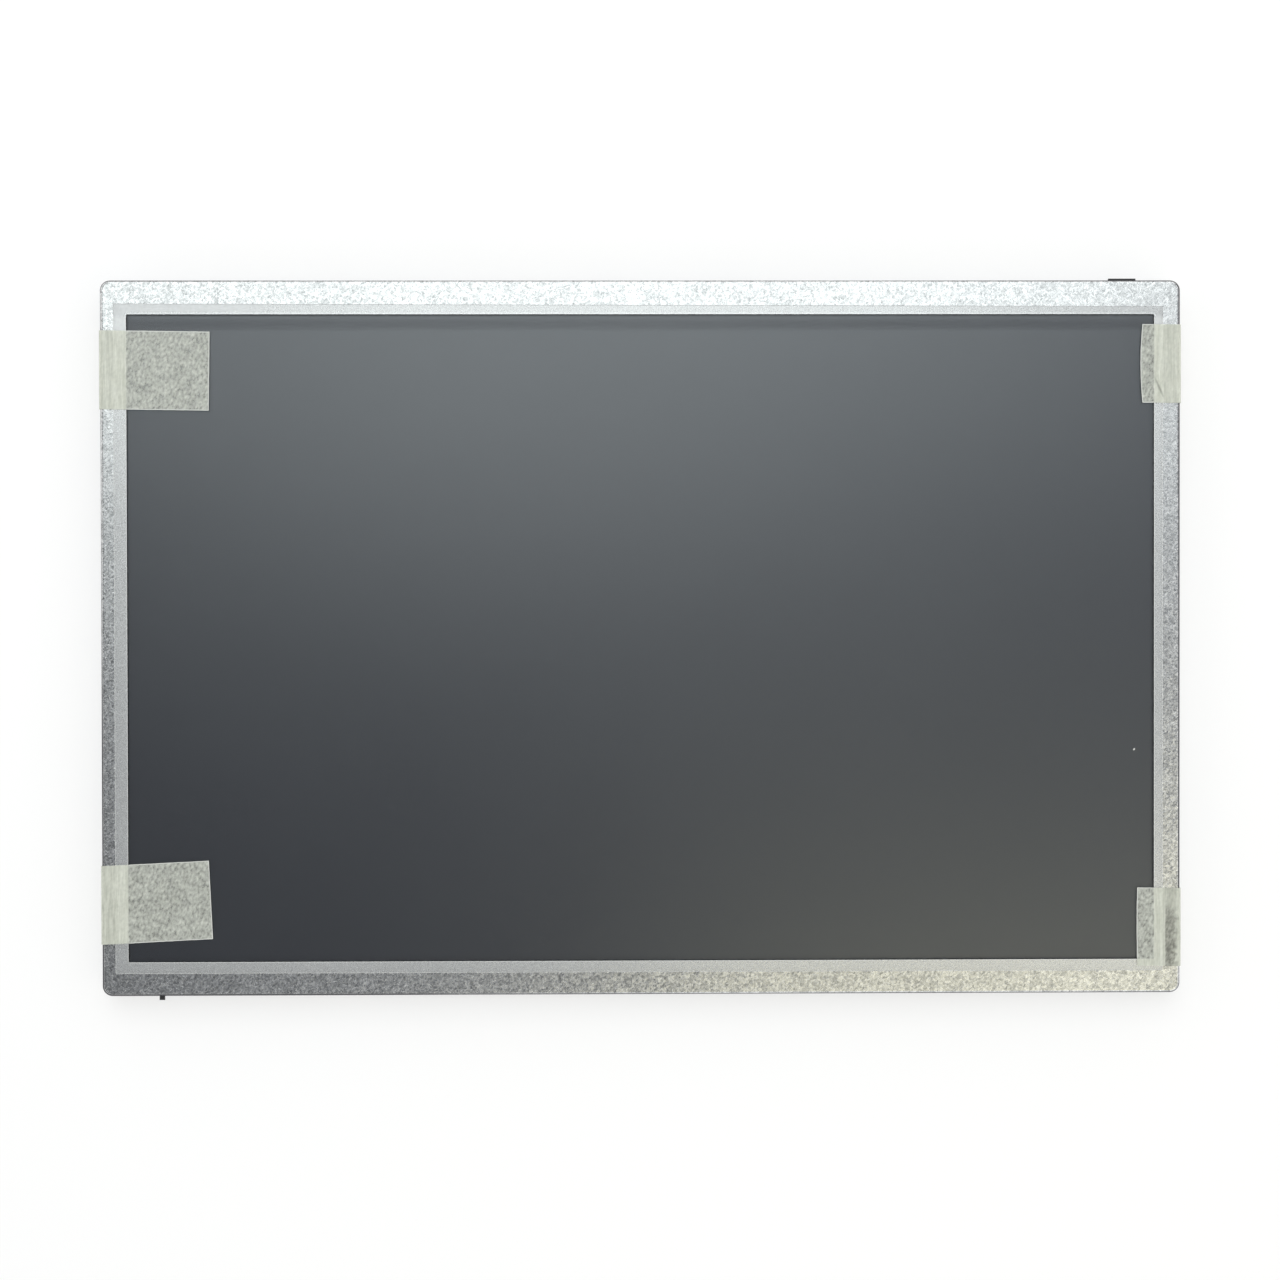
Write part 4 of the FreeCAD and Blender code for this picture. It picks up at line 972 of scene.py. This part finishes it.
def wet_patch(tree, place, weave):
    """The mottled grey where glue has soaked the lower right strip, densest at its end."""
    at = axes_of(tree, place)
    ragged = sum_of(tree, "MULTIPLY_ADD", speckle(tree, place, 1.5 * MM, 2.0), SOAK_RAGGED, at["X"])
    across = product_of(tree, span_of(tree, at["X"], 134.9, 135.2),
                        span_of(tree, ragged, 138.5, 139.8, 1.0, 0.0))
    along = product_of(tree, span_of(tree, at["Y"], -71.2, -69.0, 1.0, 0.42),
                       span_of(tree, at["Y"], -79.0, -71.5, 1.0, 0.76),
                       span_of(tree, at["Y"], -64.5, -62.5, 1.0, 0.0), span_of(tree, at["Z"], 8.8, 9.0))
    return product_of(tree, across, along, range_of(tree, weave, 0.4, 0.6, 1.0, 0.5))


def tape_finish():
    """Thin paper: mottled over the dark screen, smooth and creamy over metal, with painted highlights on
    its edges over the screen and painted shade in one crease.
    """
    made, tree, shader, place = new_finish("masking paper")
    fibre = speckle(tree, place, 0.85 * MM, 4.0, stretch=(0.8, 1.3, 1.0), turn=-0.4)
    clump = speckle(tree, place, 3.0 * MM)
    crepe = speckle(tree, place, 0.6 * MM, stretch=(0.8, 9.0, 1.0))
    weave = sum_of(tree, "MULTIPLY_ADD", fibre, FIBRE_PART, product_of(tree, clump, CLUMP_PART))
    backed = span_of(tree, out_of_frame(tree, place, OPENING, OPENING_CORNER), *BACKED_EDGE)
    share = between(tree, backed, range_of(tree, weave, 0.34, 0.66, 0.22, 0.64),
                    range_of(tree, weave, 0.37, 0.63, 0.68, 0.8))
    strip = axes_of(tree, add(tree, "ShaderNodeUVMap", uv_map="strip").outputs[0])
    from_side = sum_of(tree, "SUBTRACT", TAPE_HALF, sum_of(tree, "ABSOLUTE", strip["Y"]))
    # A painted highlight lightens the cut edges where the tape lies over the screen.
    painted_cut_edge = span_of(tree, sum_of(tree, "MINIMUM", from_side, strip["X"]), *RIM_EDGE, 1.0, 0.0)
    painted_cut_edge = product_of(tree, painted_cut_edge, rest_of(tree, backed))
    ribbed = spread_of(tree, crepe, 0.0, 1.0)
    thin = blend_of(tree, ribbed, (0.8, 0.825, 0.74, 1), (0.86, 0.885, 0.81, 1))
    dense = blend_of(tree, ribbed, (0.6, 0.62, 0.53, 1), (0.8, 0.82, 0.73, 1))
    bare = blend_of(tree, ribbed, (0.53, 0.545, 0.47, 1), (0.73, 0.75, 0.66, 1))
    past_film = span_of(tree, out_of_film(tree, place), *BARE_EDGE)
    tone = blend_of(tree, backed, thin, blend_of(tree, past_film, dense, bare))
    tone = blend_of(tree, painted_cut_edge, tone, (0.86, 0.88, 0.83, 1))
    tone = blend_of(tree, wet_patch(tree, place, weave), tone, (0.16, 0.16, 0.14, 1))
    # The crease is raised in relief and darkened by painted shade.
    crease_and_shade = mark(tree, place, **CREASE)
    tone = blend_of(tree, product_of(tree, crease_and_shade, CREASE_SHADE), tone, (0.33, 0.34, 0.29, 1))
    share = largest_of(tree, share, product_of(tree, painted_cut_edge, RIM_HIGHLIGHT_SHARE))
    set_shader(tree, shader, Base_Color=tone, Alpha=share, Roughness=spread_of(tree, fibre, 0.55, 0.75))
    raise_surface(tree, shader, (crepe, 0.02 * MM), (fibre, 0.03 * MM), (crease_and_shade, 0.09 * MM))
    return made


def tape_strip(name, materials, bulge):
    """The folded strip cut into small cells, then made uneven as torn paper is."""
    strip = bmesh.new()
    strip.from_mesh(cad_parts[name].data)
    bmesh.ops.remove_doubles(strip, verts=strip.verts, dist=1e-6)
    bmesh.ops.dissolve_limit(strip, angle_limit=0.01, verts=strip.verts, edges=strip.edges)
    low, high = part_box(name)
    front = sorted((v.co for v in strip.verts if v.co.z > high.z - 0.01 * MM), key=lambda c: abs(c.x))
    lower, upper = sorted((c.copy() for c in front[:2]), key=lambda c: c.y)
    end = (lower + upper) / 2
    across = (upper - lower).normalized()
    outward = math.copysign(1.0, lower.x)
    along = Vector((outward * across.y, -outward * across.x, 0.0))
    for axis in (0, 1):
        for n in range(1, int((high[axis] - low[axis]) / TAPE_CELL)):
            spot, way = Vector(), Vector()
            spot[axis] = low[axis] + n * TAPE_CELL
            way[axis] = 1.0
            cut_sheet(strip, spot, way)
    bmesh.ops.recalc_face_normals(strip, faces=strip.faces)
    laid = strip.loops.layers.uv.new("strip")
    for f in strip.faces:
        where, facing = f.calc_center_median(), f.normal
        under = facing.z < -0.5 and where.z > TAPE_FACE
        inside = facing.x * where.x < 0 and abs(facing.x) > 0.5 and abs(where.x) > TAPE_WALL
        above = facing.z > 0.5 and where.z < TAPE_TAIL
        f.material_index = GLUED_FACE if under or inside or above else OUTER_PAPER
        for loop in f.loops:
            apart = loop.vert.co - end
            loop[laid].uv = (apart.dot(along) if where.z > TAPE_FACE else TAPE_HALF, apart.dot(across))
    for v in strip.verts:
        if any(f.material_index == GLUED_FACE for f in v.link_faces):
            v.co -= v.normal * TAPE_CLEAR
    for v in strip.verts:
        if v.co.z > FREE_FACE and abs(v.co.x) < TAPE_FREE:
            inward = (TAPE_FREE - abs(v.co.x)) / (TAPE_FREE - abs(lower.x))
            round_out = max(0.0, 1 - ((v.co - end).dot(across) / TAPE_HALF) ** 2)
            spot = v.co * WAVE_SCALE
            wave = noise.noise(spot), noise.noise(spot + WAVE_SHIFT)
            v.co.x += (UNEVEN * wave[0] - math.copysign(bulge * round_out, v.co.x)) * MM * inward
            v.co.y += UNEVEN * MM * wave[1]
            lift = noise.noise(Vector((v.co.x, v.co.y, 0)) * LIFT_SCALE)
            v.co.z += UNEVEN * MM * (0.5 + 0.5 * lift)
    keep_piece(name + "_paper", strip, materials, "tape", name)


glue = underside_finish("tape adhesive", (0.7, 0.7, 0.6, 1), (0.62, 0.62, 0.52, 1), share=0.06)
paper = [tape_finish(), glue]
for name, bulge in BULGES.items():
    tape_strip(name, paper, bulge)


# Studio: a plain white floor, a wide soft lamp beyond the top of the module with a brighter middle,
# a warm one beyond its lower right corner, and a camera looking straight down as in the photograph.

FLOOR_HALF = 5.0
FLOOR_DROP = 0.2 * MM
FLOOR_GLOW = 0.55
BRIGHT_SIDE = (0.963, 0.27, 0.0)
CEILING_DIM, CEILING_BRIGHT = (0.095, 0.098, 0.104, 1), (0.438, 0.447, 0.482, 1)
WALL_BELOW, WALL_LEVEL = (0.6, 0.6, 0.6, 1), (1.3, 1.3, 1.3, 1)
WALL_TOP, CEILING_EDGE = 0.574, 0.766
CAMERA_PLACE = (-0.0066, 0.00471, 0.5594)
CAMERA_TURN = (-0.009539, -0.011087, -0.00186)
SENSOR_WIDTH = 36.0
FOCAL_LENGTH = 60.13


def floor_finish():
    """White paper that glows a little to the eye, casts no shadow and is clear from below."""
    made, tree, shader, place = new_finish("white floor")
    cloud = speckle(tree, place, 300.0 * MM)
    tone = blend_of(tree, cloud, (0.93, 0.93, 0.93, 1), (0.95, 0.95, 0.95, 1))
    set_shader(tree, shader, Roughness=0.9, Base_Color=tone)
    seen = add(tree, "ShaderNodeLightPath").outputs
    direct = largest_of(tree, seen["Is Camera Ray"], seen["Is Glossy Ray"], seen["Is Transmission Ray"])
    glow = add(tree, "ShaderNodeEmission", {"Color": (1, 1, 1, 1), "Strength": 1.0})
    pale = add(tree, "ShaderNodeMixShader",
               {0: product_of(tree, direct, FLOOR_GLOW), 1: shader.outputs[0], 2: glow.outputs[0]})
    behind = add(tree, "ShaderNodeNewGeometry").outputs["Backfacing"]
    clear = add(tree, "ShaderNodeBsdfTransparent")
    one_sided = add(tree, "ShaderNodeMixShader", {0: largest_of(tree, behind, seen["Is Shadow Ray"]),
                                                  1: pale.outputs[0], 2: clear.outputs[0]})
    put(tree, tree.nodes["Material Output"].inputs["Surface"], one_sided.outputs[0])
    return made


ground = bmesh.new()
bmesh.ops.create_grid(ground, x_segments=8, y_segments=8, size=FLOOR_HALF)
bmesh.ops.translate(ground, vec=(0, 0, -FLOOR_DROP), verts=ground.verts)
ground_mesh = bpy.data.meshes.new("floor")
ground.to_mesh(ground_mesh)
ground.free()
ground_mesh.materials.append(floor_finish())
floor = bpy.data.objects.new("floor", ground_mesh)
bpy.context.scene.collection.objects.link(floor)

scene = bpy.context.scene
scene.view_settings.view_transform = "Standard"

world = bpy.data.worlds.new("studio")
scene.world = world
world.use_nodes = True
sky = world.node_tree
way = add(sky, "ShaderNodeTexCoord").outputs["Generated"]
rise = axes_of(sky, way)["Z"]
lean = vector_of(sky, "DOT_PRODUCT", way, BRIGHT_SIDE)
ceiling = blend_of(sky, range_of(sky, lean, -0.5, 0.5), CEILING_DIM, CEILING_BRIGHT)
walls = blend_of(sky, range_of(sky, rise, -1.0, 0.0), WALL_BELOW, WALL_LEVEL)
shades = blend_of(sky, range_of(sky, rise, WALL_TOP, CEILING_EDGE), walls, ceiling)
put(sky, sky.nodes["Background"].inputs["Color"], shades)


def soft_lamp(name, centre, wide, deep, radiance, colour):
    """A level panel of light facing down, as bright all over as the radiance says."""
    lamp = bpy.data.lights.new(name, "AREA")
    lamp.shape = "RECTANGLE"
    lamp.size, lamp.size_y = wide, deep
    lamp.energy = radiance * math.pi * wide * deep
    lamp.color = colour
    made = bpy.data.objects.new(name, lamp)
    made.location = centre
    scene.collection.objects.link(made)


soft_lamp("top_light", centre=(-0.09, 0.6265, 1.0), wide=1.03, deep=0.987,
          radiance=1.4, colour=(0.945, 1.0, 0.99))
soft_lamp("inner_light", centre=(-0.07, 0.5365, 1.0), wide=0.4, deep=0.927,
          radiance=1.45, colour=(0.98, 1.0, 0.985))
soft_lamp("corner_light", centre=(0.5665, -0.521, 1.0), wide=1.047, deep=0.658,
          radiance=0.895, colour=(1.0, 0.935, 0.645))

lens = bpy.data.cameras.new("camera")
lens.sensor_width = SENSOR_WIDTH
lens.lens = FOCAL_LENGTH
lens.clip_start, lens.clip_end = 0.01, 50.0
camera = bpy.data.objects.new("camera", lens)
camera.location = CAMERA_PLACE
camera.rotation_euler = CAMERA_TURN
scene.collection.objects.link(camera)
scene.camera = camera
